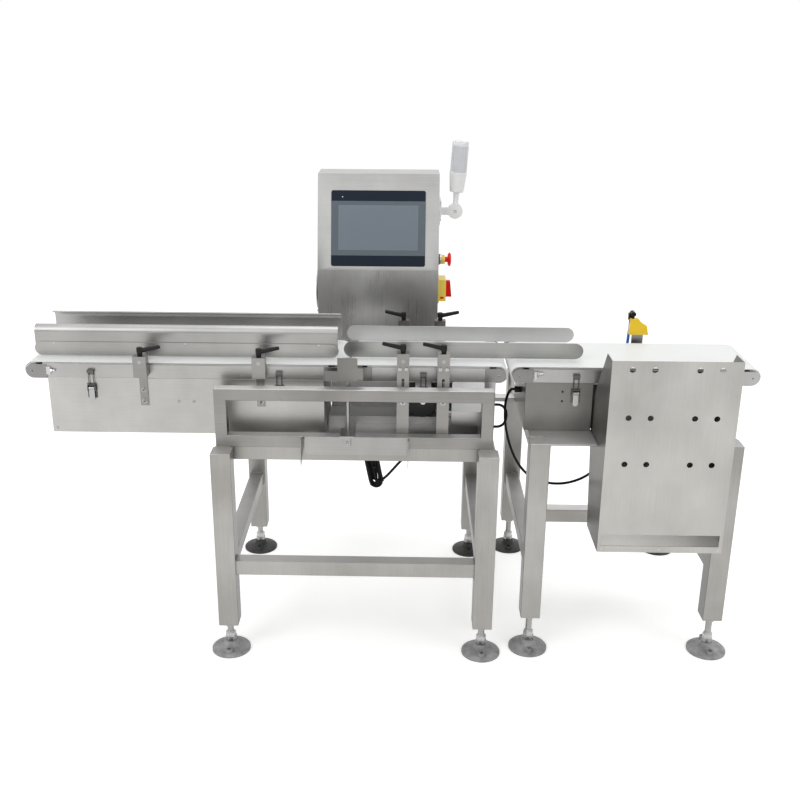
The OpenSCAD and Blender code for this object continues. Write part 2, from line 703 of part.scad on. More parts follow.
// Gear motors with their shafts and pulleys, and the toothed belts to the rollers
module gear_motor(at, face) difference() {
    union() {
        slab([at[0] - motor_w / 2, at[0] + motor_w / 2], [face - gear_len, face],
             [at[1] - motor_w / 2, at[1] + motor_w / 2]);
        bar_y(at[0], at[1], motor_w / 2 - 2, face - gear_len - motor_len, face - gear_len);
    }
    bar_y(at[0], at[1], motor_shaft_r + turn_fit, face - shaft_seat, face + 1);
}
module motor_pulley(at, face) {
    bar_y(at[0], at[1], motor_shaft_r, face - shaft_seat + shaft_end_gap, pulley_y + eps);
    pulley(at[0], at[1]);
}
module drive_belt(a, b) sheet_y(pulley_y, pulley_y + pulley_w) difference() {
    round_strip(a, b, pulley_r + run_gap + drive_belt_t);
    round_strip(a, b, pulley_r + run_gap);
}
module drive_cover(a, b) difference() {
    sheet_y(cover_y, cover_y + cover_depth) round_strip(a, b, cover_r);
    sheet_y(cover_y - 1, cover_y + cover_depth - cover_t) round_strip(a, b, cover_r - cover_t);
}
module belt_drives() color("black") on_lane() {
    gear_motor(infeed_motor, deck_out - box_t);
    gear_motor(weigh_motor, deck_in);
    gear_motor(outfeed_motor, deck_out - box_t);
    drive_belt(infeed_motor, [infeed_drive_x, axis_z]);
    drive_belt(weigh_motor, [weigh_drive_x, axis_z]);
    drive_belt(outfeed_motor, [outfeed_drive_x, axis_z]);
}
module infeed_motor_pulley() color("gray") on_lane() motor_pulley(infeed_motor, deck_out - box_t);
module weigh_motor_pulley() color("gray") on_lane() motor_pulley(weigh_motor, deck_in);
module outfeed_motor_pulley() color("gray") on_lane() motor_pulley(outfeed_motor, deck_out - box_t);
module belt_covers() color("silver") on_lane() {
    drive_cover(infeed_motor, [infeed_drive_x, axis_z]);
    drive_cover(weigh_motor, [weigh_drive_x, axis_z]);
    drive_cover(outfeed_motor, [outfeed_drive_x, axis_z]);
}

// Posts that carry the guide rods, each with a head bored for its rod and lever stud
module post_head(x, w, y0, y1, z0, z1, rod_z) difference() {
    slab([x - w / 2, x + w / 2], [y0, y1], [z0, z1]);
    bar_y(x, rod_z, rod_d / 2 + slide_fit, y0 - 1, y1 + 1);
    bar_z(x, (y0 + y1) / 2, lever_stud_r + turn_fit, z1 - lever_stud_len - 1, z1 + 1);
}
module guide_posts() color("silver") on_lane() {
    strap_z = [strap_low, deck_low + nose_h - 6];
    for (x = infeed_post_x) {
        strap_x = [x - strap_w / 2, x + strap_w / 2];
        post_head(x, infeed_head_w, front_head_y0, front_head_y1, head_low, infeed_head_z, infeed_rod_z);
        slab(strap_x, [-deck_out - strap_t, -deck_out], strap_z);
        post_head(x, infeed_head_w, rear_head_y0, rear_head_y1, head_low, infeed_head_z, infeed_rod_z);
        slab(strap_x, [deck_out, deck_out + strap_t], strap_z);
        slab(strap_x, [deck_out, rear_head_y0], [head_low, head_low + 12]);
    }
    for (x = weigh_post_x) {
        post_x = [x - weigh_head_w / 2, x + weigh_head_w / 2];
        post_head(x, weigh_head_w, weigh_head_y0, weigh_head_y1, weigh_head_low, weigh_head_z, weigh_rod_z);
        difference() {
            slab(post_x, [guard_y1, guard_y1 + post_t], [main_top + post_end, weigh_head_low]);
            sheet_y(guard_y1 - 1, guard_y1 + post_t + 1)
                round_strip([x, guard_z1 + 3], [x, guard_z1 + 18], post_slot_r);
            slab([x - post_slot_r, x + post_slot_r], [guard_y1 - 1, guard_y1 + post_t + 1],
                 [main_top + post_end - 1, main_top + post_end + 10]);
        }
        post_head(x, weigh_head_w, rear_head_y0, rear_head_y1, weigh_head_low, weigh_head_z, weigh_rod_z);
        slab(post_x, [rear_head_y0, rear_head_y0 + post_t], [main_top, weigh_head_low]);
        slab(post_x, [tray_y1 + 1, rear_head_y0 + post_t], [main_top, main_top + post_t]);
    }
}

// Side guides: a round-ended strip on two rods, with a curled sheet above it at the infeed
module guide_strip(x0, x1, y, h) sheet_y(y - guide_t / 2, y + guide_t / 2)
    round_strip([x0 + h / 2, guide_low + h / 2], [x1 - h / 2, guide_low + h / 2], h / 2);
module curled_sheet() sheet_x(infeed_guide_x0 + 2, infeed_guide_x1 - 2) {
    low = guide_low + infeed_strip_h - 12;
    high = guide_low + infeed_strip_h + curl_rise;
    translate([guide_t / 2, low]) square([curl_t, high - low]);
    translate([guide_t / 2 + curl_r, high]) intersection() {
        difference() {
            circle(curl_r);
            circle(curl_r - curl_t);
        }
        translate([-curl_r, 0]) square([curl_r * 1.3, curl_r]);
    }
}
module infeed_guide(y, end_y) {
    guide_strip(infeed_guide_x0, infeed_guide_x1, y, infeed_strip_h);
    translate([0, y, 0]) mirror([0, y > 0 ? 1 : 0, 0]) curled_sheet();
    for (x = infeed_post_x) bar_y(x, infeed_rod_z, rod_d / 2, min(y, end_y), max(y, end_y));
}
module weigh_guide(y, end_y) {
    guide_strip(weigh_guide_x0, weigh_guide_x1, y, weigh_strip_h);
    for (x = weigh_post_x) bar_y(x, weigh_rod_z, rod_d / 2, min(y, end_y), max(y, end_y));
}
module infeed_front_guide() color("silver") on_lane() infeed_guide(-infeed_front_y, front_head_y0);
module infeed_rear_guide() color("silver") on_lane() infeed_guide(infeed_rear_y, rear_head_y1);
module weigh_front_guide() color("silver") on_lane() weigh_guide(-weigh_front_y, weigh_head_y0);
module weigh_rear_guide() color("silver") on_lane() weigh_guide(weigh_rear_y, rear_head_y1);

// Clamp lever: hub with a stud below and a raised, tapered arm
module clamp_lever(x, y, z, turn) translate([x, y, z]) rotate(turn) {
    hub_r = hub_d / 2;
    rotate_extrude() polygon([
        [0, -lever_stud_len], [lever_stud_r, -lever_stud_len], [lever_stud_r, face_gap],
        [hub_r - 1.5, face_gap], [hub_r, hub_h * 0.5], [hub_r, hub_h - 1.5], [hub_r - 1.5, hub_h], [0, hub_h]
    ]);
    translate([0, 0, hub_h - 9]) rotate([0, 90 - lever_tilt, 0]) rotate_extrude() polygon([
        [0, 0], [6, 0], [4.6, lever_len - 2], [3, lever_len], [0, lever_len]
    ]);
}
module infeed_front_lever_1() color("black") on_lane()
    clamp_lever(infeed_post_x[0], front_lever_y, infeed_head_z, 0);
module infeed_front_lever_2() color("black") on_lane()
    clamp_lever(infeed_post_x[1], front_lever_y, infeed_head_z, 0);
module infeed_rear_lever_1() color("black") on_lane()
    clamp_lever(infeed_post_x[0], rear_lever_y, infeed_head_z, 180);
module infeed_rear_lever_2() color("black") on_lane()
    clamp_lever(infeed_post_x[1], rear_lever_y, infeed_head_z, 0);
module weigh_front_lever_1() color("black") on_lane()
    clamp_lever(weigh_post_x[0], weigh_lever_y, weigh_head_z, 180);
module weigh_front_lever_2() color("black") on_lane()
    clamp_lever(weigh_post_x[1], weigh_lever_y, weigh_head_z, 180);
module weigh_rear_lever_1() color("black") on_lane()
    clamp_lever(weigh_post_x[0], rear_lever_y, weigh_head_z, 180);
module weigh_rear_lever_2() color("black") on_lane()
    clamp_lever(weigh_post_x[1], rear_lever_y, weigh_head_z, 0);

// Toggle latches: base with ears, keeper hook and bail, and the lever on its pin
module latch_base(x) {
    ear_x = latch_w / 2 + 1;
    plate = -deck_out - 1.5;
    slab([x - ear_x - 4, x + ear_x + 4], [plate, -deck_out], [latch_z - 26, latch_z + 12]);
    for (side = [-1, 1]) difference() {
        slab([x + side * (ear_x + ear_t / 2) - ear_t / 2, x + side * (ear_x + ear_t / 2) + ear_t / 2],
             [latch_y - 4, plate], [latch_z - 7, latch_z + 7]);
        bar_x(latch_y, latch_z, latch_pin_r + turn_fit, x - ear_x - 5, x + ear_x + 5);
    }
    slab([x - 8, x + 8], [plate, -deck_out], [hook_z - 14, hook_z]);
    slab([x - 8, x + 8], [latch_y - 3, plate], [hook_z - 2, hook_z]);
    slab([x - 8, x + 8], [latch_y - 3, latch_y - 1.5], [hook_z - 8, hook_z - 2]);
    bail_z = [latch_z + 8, hook_z - 3];
    bail_y = latch_y + 1;
    for (side = [-1, 1]) bar_z(x + side * 6, bail_y, 1, bail_z[0], bail_z[1]);
    for (z = bail_z) bar_x(bail_y, z, 1, x - 7, x + 7);
}
module latch_bases() color("gainsboro") on_lane() {
    for (x = infeed_latch_x) latch_base(x);
    latch_base(weigh_latch_x);
    latch_base(outfeed_latch_x);
}
module latch_lever(x) {
    bar_x(latch_y, latch_z, 4, x - latch_w / 2, x + latch_w / 2);
    bar_x(latch_y, latch_z, latch_pin_r, x - latch_w / 2 - 3, x + latch_w / 2 + 3);
    slab([x - latch_w / 2, x + latch_w / 2], [latch_y - 2, latch_y + 1], [latch_z - latch_len + 7, latch_z]);
    sheet_y(latch_y - 2, latch_y + 1) translate([x, latch_z - latch_len + 7]) circle(latch_w / 2);
}
module infeed_latch_1() color("gainsboro") on_lane() latch_lever(infeed_latch_x[0]);
module infeed_latch_2() color("gainsboro") on_lane() latch_lever(infeed_latch_x[1]);
module weigh_latch() color("gainsboro") on_lane() latch_lever(weigh_latch_x);
module outfeed_latch() color("gainsboro") on_lane() latch_lever(outfeed_latch_x);

// Product sensor behind a plate with two side arms, on a rod clamped to the guard's lower tube
module sensor_post() color("silver") on_lane() {
    plate_y = [guard_y1 + 2, guard_y1 + 2 + sensor_t];
    rod_y = plate_y[1] + post_r - 1.5;
    foot_z = main_top + guard_t;
    left = sensor_x - sensor_w / 2;
    right = sensor_x + sensor_w / 2;
    slab([left, right], plate_y, [sensor_z0, sensor_z1]);
    slab([left - 32, left], plate_y, [sensor_z0 + 4, sensor_z0 + 28]);
    slab([right, right + 14], plate_y, [sensor_z0 + 6, sensor_z0 + 36]);
    slab([sensor_x - 11, sensor_x + 11], [plate_y[1], plate_y[1] + 20], [sensor_z0 + 18, sensor_z1 - 6]);
    bar_z(sensor_x, rod_y, post_r, foot_z, sensor_z0 + 30);
    slab([sensor_x - clamp_w / 2, sensor_x + clamp_w / 2], [guard_y0 - clamp_reach, rod_y + post_r + 4],
         [foot_z, foot_z + clamp_t]);
    slab([sensor_x - clamp_w / 4, sensor_x + clamp_w / 4], [guard_y0 - clamp_reach, guard_y0 - strip_t],
         [foot_z - clamp_drop, foot_z]);
    slab([sensor_x - 14, sensor_x + 14], [tray_y0, -cell_w / 2], [tray_top, tray_top + sensor_t]);
}

// Reject bin: folded sheet, open towards the belt, with a chute floor that runs down to its slot
module bin_section() polygon([
    [-bin_reach, bin_low], [-bin_foot, bin_low], [-bin_back, bin_back_z],
    [-bin_reach + bin_mouth, bin_high], [-bin_reach, bin_high]
]);
module reject_bin() color("silver") on_lane() {
    lean = (bin_foot - bin_back) / (bin_back_z - bin_low);
    chute_y = -bin_foot + lean * chute_high - bin_t / 2;
    for (x = [bin_x0, bin_x1 - bin_t]) sheet_x(x, x + bin_t) bin_section();
    difference() {
        slab([bin_x0, bin_x1], [-bin_reach, -bin_reach + bin_t], [bin_low, bin_high]);
        slab([bin_x0 + 8, bin_x1 - 8], [-bin_reach - 1, -bin_reach + bin_t + 1],
             [bin_low + bin_slot_low, bin_low + bin_slot_high]);
        for (x = bin_hole_x, z = bin_hole_z)
            bar_y((bin_x0 + bin_x1) / 2 + x, bin_high - z, bin_hole_d / 2,
                  -bin_reach - 1, -bin_reach + bin_t + 1);
    }
    slab([bin_x0, bin_x1], [-bin_reach, -bin_foot], [bin_low, bin_low + bin_t]);
    sheet_x(bin_x0, bin_x1) polygon([
        [-bin_foot, bin_low], [-bin_back, bin_back_z],
        [-bin_back - bin_t, bin_back_z], [-bin_foot - bin_t, bin_low]
    ]);
    sheet_x(bin_x0, bin_x1) polygon([
        [-bin_reach + bin_t / 2, bin_low + chute_low], [chute_y, bin_low + chute_high],
        [chute_y, bin_low + chute_high + bin_t], [-bin_reach + bin_t / 2, bin_low + chute_low + bin_t]
    ]);
    slab([bin_x1, out_x1 - rail_inset - rail_w], [out_y0 + leg_w, -bin_foot],
         [outfeed_top - 30, outfeed_top - 4]);
}

// Air nozzle on its bracket, the elbow above it and the valve below
module air_nozzle() color("gold") on_lane() {
    foot_x = [nozzle_x + 8, nozzle_x + 38];
    shelf_z = belt_top - 14;
    slab(foot_x, [deck_out, deck_out + 3], [shelf_z - 18, shelf_z]);
    slab(foot_x, [deck_out, nozzle_y], [shelf_z, shelf_z + 3]);
    slab(foot_x, [nozzle_y - 3, nozzle_y], [shelf_z + 3, nozzle_z]);
    translate([nozzle_x, 0, nozzle_z])
        sheet_y(nozzle_y - nozzle_t / 2, nozzle_y + nozzle_t / 2) polygon(nozzle_outline);
    bar_z(hose_x + 4, nozzle_y, 4, nozzle_z + 44, nozzle_z + 52);
    bar_y(hose_x + 4, nozzle_z + 56, 6.5, nozzle_y - 6, hose_y + 5);
    slab([hose_x - 6, hose_x + 6], [hose_y - 6, hose_y + 5], [hose_top, nozzle_z + 56]);
    slab([hose_x - 18, hose_x + 18], [rear_rail_y + 15, rear_rail_y + rail_w + 6],
         [outfeed_top, outfeed_top + valve_h]);
}
module air_hose() color("royalblue") on_lane() swept_tube(hose_path, hose_r);

// Cabinet shell with a sloping front, open at the rear
module cabinet_section(inset) polygon([
    [cab_front + inset, cab_low + inset], [cab_front + inset, cab_bend],
    [cab_front + inset + cab_lean, cab_high - inset], [cab_back + (inset > 0 ? 1 : 0), cab_high - inset],
    [cab_back + (inset > 0 ? 1 : 0), cab_low + inset]
]);
module on_slope() translate([0, cab_front, cab_bend]) rotate([-cab_tilt, 0, 0]) children();
module control_cabinet() color("silver") on_lane() {
    middle = (cab_x0 + cab_x1) / 2;
    difference() {
        sheet_x(cab_x0, cab_x1) cabinet_section(0);
        sheet_x(cab_x0 + cab_t, cab_x1 - cab_t) cabinet_section(cab_t);
        on_slope() slab([middle - screen_w / 2 + screen_lip, middle + screen_w / 2 - screen_lip], [-10, 20],
                        [screen_up + screen_lip, screen_up + screen_h - screen_lip]);
    }
    for (z = hinge_z) {
        bar_z(hinge_x, hinge_y, hinge_r, z, z + hinge_len);
        bar_z(hinge_x, hinge_y, hinge_pin_r, z, z + 2 * hinge_len);
        slab([cab_x1, hinge_x], [cab_back - 22, hinge_y], [z, z + hinge_len]);
    }
}
module cabinet_door() color("silver") on_lane() {
    y0 = cab_rear - door_t;
    difference() {
        slab([cab_x0, cab_x1 - 0.5], [y0, cab_rear], [cab_low, cab_high]);
        slab([cab_x0 + cab_t, cab_x1 - cab_t - 0.5], [y0 - 1, cab_rear - cab_t],
             [cab_low + cab_t, cab_high - cab_t]);
    }
    for (z = hinge_z) difference() {
        union() {
            bar_z(hinge_x, hinge_y, hinge_r, z + hinge_len + face_gap, z + 2 * hinge_len);
            slab([cab_x1 - 0.5, hinge_x], [hinge_y, hinge_y + hinge_r],
                 [z + hinge_len + face_gap, z + 2 * hinge_len]);
        }
        bar_z(hinge_x, hinge_y, hinge_pin_r + turn_fit, z, z + 2 * hinge_len + 1);
    }
}

// Touch screen: bezel on the sloping front and its body through the cut-out
module touch_screen() color("darkslategray") on_lane() on_slope() {
    middle = (cab_x0 + cab_x1) / 2;
    sheet_y(-screen_t, 0) translate([middle, screen_up + screen_h / 2])
        round_rect(screen_w, screen_h, screen_corner);
    slab([middle - screen_w / 2 + screen_lip + 1, middle + screen_w / 2 - screen_lip - 1], [0, screen_depth],
         [screen_up + screen_lip + 1, screen_up + screen_h - screen_lip - 1]);
}

// Control gear on a plate that stands off the cabinet's front
module control_gear() color("gray") on_lane() {
    plate_y = cab_front + cab_t + gear_stand;
    gear_y = plate_y + gear_plate_t;
    plate_x = [cab_x0 + gear_inset, cab_x1 - gear_inset];
    plate_z = [cab_low + gear_low, cab_bend - gear_high];
    slab(plate_x, [plate_y, gear_y], plate_z);
    for (x = [plate_x[0] + 15, plate_x[1] - 15], z = [plate_z[0] + 15, plate_z[1] - 15])
        bar_y(x, z, 5, cab_front + cab_t, plate_y);
    slab([plate_x[0] + 20, plate_x[0] + 120], [gear_y, gear_y + 45], [plate_z[1] - 130, plate_z[1] - 30]);
    slab([plate_x[0] + 140, plate_x[1] - 20], [gear_y, gear_y + 70], [plate_z[1] - 130, plate_z[1] - 30]);
    for (k = [0:2])
        slab([plate_x[0] + 20 + k * 85, plate_x[0] + 95 + k * 85], [gear_y, gear_y + 80],
             [plate_z[0] + 30, plate_z[0] + 140]);
}

// Fixed pieces on the cabinet's right side: lamp bracket, stop collar and isolator base
module cabinet_fittings() color("gold") on_lane() {
    slab([cab_x1, cab_x1 + 4], [lamp_y - 18, lamp_y + 18], [lamp_z - 39, lamp_z + 39]);
    difference() {
        union() {
            slab([cab_x1 + 4, lamp_x], [lamp_y - face_gap - knuckle_t, lamp_y - face_gap],
                 [lamp_z - 11, lamp_z + 11]);
            bar_y(lamp_x, lamp_z, knuckle_r, lamp_y - face_gap - knuckle_t, lamp_y - face_gap);
        }
        bar_y(lamp_x, lamp_z, lamp_pin_r + turn_fit, lamp_y - knuckle_t + 2, lamp_y + 1);
    }
    difference() {
        union() {
            bar_x(side_y, stop_z, 16, cab_x1, cab_x1 + 4);
            bar_x(side_y, stop_z, 14.5, cab_x1 + 4, cab_x1 + 9);
            bar_x(side_y, stop_z, 13.5, cab_x1 + 9, cab_x1 + 19);
        }
        bar_x(side_y, stop_z, 8 + slide_fit, cab_x1 + 4, cab_x1 + 20);
    }
    difference() {
        union() {
            slab([cab_x1, cab_x1 + 3], [side_y - 37, side_y + 37], [isolator_z - 37, isolator_z + 37]);
            slab([cab_x1 + 3, cab_x1 + 23], [side_y - 32, side_y + 32], [isolator_z - 32, isolator_z + 32]);
        }
        bar_x(side_y, isolator_z, 5 + turn_fit, cab_x1 + 12, cab_x1 + 24);
    }
}
module stop_button() color("red") on_lane() {
    bar_x(side_y, stop_z, 8, cab_x1 + 11, cab_x1 + 27.5);
    translate([cab_x1 + 27, side_y, stop_z]) rotate([0, 90, 0]) rotate_extrude() polygon([
        [0, 0], [stop_d / 2 - 5, 0], [stop_d / 2, 4], [stop_d / 2, 7], [stop_d / 2 - 5, 10], [0, 11]
    ]);
}
module isolator_handle() color("red") on_lane() {
    bar_x(side_y, isolator_z, 5, cab_x1 + 13, cab_x1 + 24);
    sheet_y(side_y - 9, side_y + 9) polygon([
        [cab_x1 + 23 + face_gap, isolator_z - 24], [cab_x1 + 41, isolator_z - 24],
        [cab_x1 + 36, isolator_z + 24], [cab_x1 + 23 + face_gap, isolator_z + 24]
    ]);
}

// Signal lamp: knuckle half, stem, tapered base and lens, leaning a little outwards
module signal_lamp() color("whitesmoke") on_lane()
    translate([lamp_x, lamp_y, lamp_z]) rotate([0, lamp_turn, 0]) {
        middle = face_gap + knuckle_t / 2;
        base_z = lamp_stem + lamp_base_h;
        bar_y(0, 0, knuckle_r, face_gap, face_gap + knuckle_t);
        bar_y(0, 0, lamp_pin_r, -knuckle_t + 3, 1);
        translate([0, middle, 0]) {
            cylinder(r = knuckle_t / 2, h = knuckle_r + 3);
            translate([0, 0, knuckle_r + 2]) cylinder(r = 8, h = lamp_stem - knuckle_r - 1);
            translate([0, 0, lamp_stem]) cylinder(d1 = lamp_d - 11, d2 = lamp_d + 1, h = lamp_base_h);
            translate([0, 0, base_z]) cylinder(d = lamp_d, h = lamp_len - base_z - 3);
            translate([0, 0, lamp_len - 3]) cylinder(d1 = lamp_d, d2 = lamp_d - 5, h = 3);
        }
    }

// Cable glands where the leads leave and enter
module gland_x(x0, x1, y, z) {
    bar_x(y, z, gland_r, x0, x1);
}
module cable_glands() color("black") on_lane() {
    for (z = weigh_lead_z) gland_x(meter_x1, weigh_lead_x, weigh_lead_y, z);
    gland_x(outfeed_start[0], outfeed_box_x0, outfeed_start[1], outfeed_start[2]);
    bar_z(outfeed_end[0], outfeed_end[1], gland_r, outfeed_end[2], outfeed_end[2] + gland_len);
    bar_z(spare_start[0], spare_start[1], gland_r, spare_start[2], spare_start[2] + gland_len);
    bar_z(cab_x0 + 60, cab_front + 100, gland_r, cab_low - gland_len, cab_low);
}
module weigh_lead() color("black") on_lane() swept_tube(weigh_path, lead_r);
module outfeed_lead() color("black") on_lane() swept_tube(outfeed_path, lead_r);
module spare_lead() color("black") on_lane() swept_tube(spare_path, lead_r);
module spare_hank() color("black") on_lane()
    sheet_y(hank_y - hank_t / 2, hank_y + hank_t / 2) round_strip(hank_top, hank_low, hank_r);

main_stand();
outfeed_stand();
levelling_feet();
guard_frame();
weigh_tray();
infeed_box();
infeed_deck();
infeed_belt();
infeed_drive_roller();
infeed_tail_roller();
load_cell();
weigh_deck();
weigh_belt();
weigh_drive_roller();
weigh_tail_roller();
outfeed_box();
outfeed_deck();
outfeed_belt();
outfeed_drive_roller();
outfeed_tail_roller();
belt_drives();
infeed_motor_pulley();
weigh_motor_pulley();
outfeed_motor_pulley();
belt_covers();
guide_posts();
infeed_front_guide();
infeed_rear_guide();
weigh_front_guide();
weigh_rear_guide();
infeed_front_lever_1();
infeed_front_lever_2();
infeed_rear_lever_1();
infeed_rear_lever_2();
weigh_front_lever_1();
weigh_front_lever_2();
weigh_rear_lever_1();
weigh_rear_lever_2();
latch_bases();
infeed_latch_1();
infeed_latch_2();
weigh_latch();
outfeed_latch();
sensor_post();
reject_bin();
air_nozzle();
air_hose();
control_cabinet();
cabinet_door();
touch_screen();
control_gear();
cabinet_fittings();
signal_lamp();
stop_button();
isolator_handle();
cable_glands();
weigh_lead();
outfeed_lead();
spare_lead();
spare_hank();
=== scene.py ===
import bpy
import bmesh
import math
from mathutils import Matrix, Vector


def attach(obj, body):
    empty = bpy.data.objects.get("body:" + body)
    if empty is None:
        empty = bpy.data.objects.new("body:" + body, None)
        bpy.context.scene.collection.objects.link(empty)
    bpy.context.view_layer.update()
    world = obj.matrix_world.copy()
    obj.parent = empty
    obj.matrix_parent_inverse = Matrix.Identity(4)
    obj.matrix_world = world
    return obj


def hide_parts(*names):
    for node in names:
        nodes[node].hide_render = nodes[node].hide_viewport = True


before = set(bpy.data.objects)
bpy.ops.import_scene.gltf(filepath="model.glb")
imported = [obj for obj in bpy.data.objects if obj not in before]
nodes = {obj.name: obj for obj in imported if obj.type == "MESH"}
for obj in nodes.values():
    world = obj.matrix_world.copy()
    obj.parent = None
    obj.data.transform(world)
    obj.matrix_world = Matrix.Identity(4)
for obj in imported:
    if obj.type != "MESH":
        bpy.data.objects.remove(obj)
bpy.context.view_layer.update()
mm = 0.001
laneY = -132.0  # mm, the belts' centre line in the row frame
print("frame loaded:", len(nodes), "nodes")


# camera and light

shot = {
    "place": (34.3, -2622.0, 1504.8),  # mm, in the row frame
    "pitch": 19.35,  # degrees below the horizon
    "yaw": -1.17,
    "roll": 0.27,
    "lens": 45.39,
    "shift": (0.0194, -0.0042),
}


def setCamera():
    pitch, yaw, roll = (math.radians(shot[k]) for k in ("pitch", "yaw", "roll"))
    flatRight = Vector((math.cos(yaw), -math.sin(yaw), 0))
    ahead = Vector((math.sin(yaw), math.cos(yaw), 0)) * math.cos(pitch) - Vector((0, 0, math.sin(pitch)))
    flatUp = flatRight.cross(ahead)
    right = flatRight * math.cos(roll) + flatUp * math.sin(roll)
    up = flatUp * math.cos(roll) - flatRight * math.sin(roll)
    data = bpy.data.cameras.new("camera")
    data.lens = shot["lens"]
    data.sensor_width = 36
    data.shift_x, data.shift_y = shot["shift"]
    data.clip_end = 50
    camera = bpy.data.objects.new("camera", data)
    bpy.context.collection.objects.link(camera)
    turn = Matrix((right, up, -ahead)).transposed().to_4x4()
    camera.matrix_world = Matrix.Translation(Vector(shot["place"]) * mm) @ turn
    bpy.context.scene.camera = camera


studio = {
    "white": (1, 1, 1, 1),
    "sky": [(0.0, 0.16), (0.46, 0.2), (0.58, 0.42), (0.8, 0.62), (1.0, 0.8)],  # from below to overhead
    "floorColor": (0.93, 0.93, 0.92, 1),
    "floorHalf": 14,  # metres from the middle to an edge
    "floorGlow": 0.42,  # lifts the lit floor to white where it is seen, a pale shadow stays
    "aim": (0.0, -0.1, 0.6),
    "keys": [  # place, size, power, all softboxes
        ((-2.6, -2.6, 3.2), 2.0, 44),
        ((2.9, -2.0, 2.6), 1.6, 20),
        ((0.2, 0.9, 3.9), 2.6, 40),
    ],
}


# shader nodes as Python expressions

class Wire:
    def __init__(self, tree, socket):
        self.tree = tree
        self.socket = socket

    @staticmethod
    def make(tree, kind, settings=None, sockets=None, out=0):
        node = tree.nodes.new(kind)
        for key, value in (settings or {}).items():
            if key == "stops":
                ramp = node.color_ramp
                while len(ramp.elements) < len(value):
                    ramp.elements.new(0.5)
                for element, (place, color) in zip(ramp.elements, value):
                    element.position = place
                    element.color = color if hasattr(color, "__len__") else (color, color, color, 1)
            else:
                setattr(node, key, value)
        for key, value in (sockets or {}).items():
            if isinstance(value, Wire):
                tree.links.new(value.socket, node.inputs[key])
            else:
                node.inputs[key].default_value = value
        return Wire(tree, node.outputs[out]) if node.outputs else None

    def sum(self, how, a, b):
        return Wire.make(self.tree, "ShaderNodeMath", {"operation": how}, {0: a, 1: b})

    def __add__(self, other):
        return self.sum("ADD", self, other)

    def __radd__(self, other):
        return self.sum("ADD", other, self)

    def __sub__(self, other):
        return self.sum("SUBTRACT", self, other)

    def __rsub__(self, other):
        return self.sum("SUBTRACT", other, self)

    def __mul__(self, other):
        return self.sum("MULTIPLY", self, other)

    def __rmul__(self, other):
        return self.sum("MULTIPLY", other, self)


def newTree(name):
    material = bpy.data.materials.new(name)
    material.use_nodes = True
    tree = material.node_tree
    tree.nodes.clear()
    return material, tree


def finishTree(tree, surface):
    Wire.make(tree, "ShaderNodeOutputMaterial", None, {"Surface": surface})


def placeOf(tree, stretch=(1, 1, 1)):
    place = Wire.make(tree, "ShaderNodeTexCoord", out="Object")
    return Wire.make(tree, "ShaderNodeMapping", None, {"Vector": place, "Scale": stretch})


def noise(tree, stretch, scale, detail=4.0, rough=0.55):
    sockets = {"Vector": placeOf(tree, stretch), "Scale": scale, "Detail": detail, "Roughness": rough}
    return Wire.make(tree, "ShaderNodeTexNoise", None, sockets)


def mixColor(tree, amount, a, b):
    return Wire.make(tree, "ShaderNodeMix", {"data_type": "RGBA"}, {0: amount, 6: a, 7: b}, out=2)


def rgb(r, g=None, b=None):
    return (r, r if g is None else g, r if b is None else b, 1)


def steelFinish(name, look):
    material, tree = newTree(name)
    grain = noise(tree, look["grain"], look["grainScale"], 3.0, 0.6)
    cloud = noise(tree, (1, 1, 1), 5.0, 3.0, 0.5)
    smear = noise(tree, (1, 1, 0.35), 14.0, 5.0, 0.65)
    tone = cloud * 0.55 + grain * 0.25 + smear * 0.2
    stops = [(0.34, look["dark"]), (0.64, look["light"])]
    color = Wire.make(tree, "ShaderNodeValToRGB", {"stops": stops}, {0: tone})
    rough = look["rough"] + (grain - 0.5) * 0.16 + (smear - 0.5) * 0.12
    bump = Wire.make(tree, "ShaderNodeBump", None,
                     {"Height": grain, "Strength": look["bump"], "Distance": 0.0004})
    shader = Wire.make(tree, "ShaderNodeBsdfPrincipled", None,
                       {"Base Color": color, "Metallic": 1.0, "Roughness": rough, "Normal": bump})
    finishTree(tree, shader)
    return material


def plasticFinish(name, look):
    material, tree = newTree(name)
    cloud = noise(tree, (1, 1, 1), look.get("cloudScale", 9.0), 3.0)
    fine = noise(tree, (1, 1, 1), look.get("fineScale", 700.0), 2.0)
    color = mixColor(tree, cloud, look["dark"], look["light"])
    rough = look["rough"] + (cloud - 0.5) * 0.14
    bump = Wire.make(tree, "ShaderNodeBump", None,
                     {"Height": fine, "Strength": look.get("bump", 0.12), "Distance": 0.0003})
    shader = Wire.make(tree, "ShaderNodeBsdfPrincipled", None,
                       {"Base Color": color, "Roughness": rough, "Normal": bump,
                        "Coat Weight": look.get("coat", 0.0), "Specular IOR Level": look.get("shine", 0.5)})
    finishTree(tree, shader)
    return material


def clearFinish(name, look):
    material, tree = newTree(name)
    cloud = noise(tree, (1, 1, 1), 30.0, 2.0)
    rough = look["rough"] + cloud * 0.04
    shader = Wire.make(tree, "ShaderNodeBsdfPrincipled", None,
                       {"Base Color": look["color"], "Roughness": rough, "IOR": 1.46,
                        "Transmission Weight": look["clear"], "Alpha": look["alpha"]})
    finishTree(tree, shader)
    return material


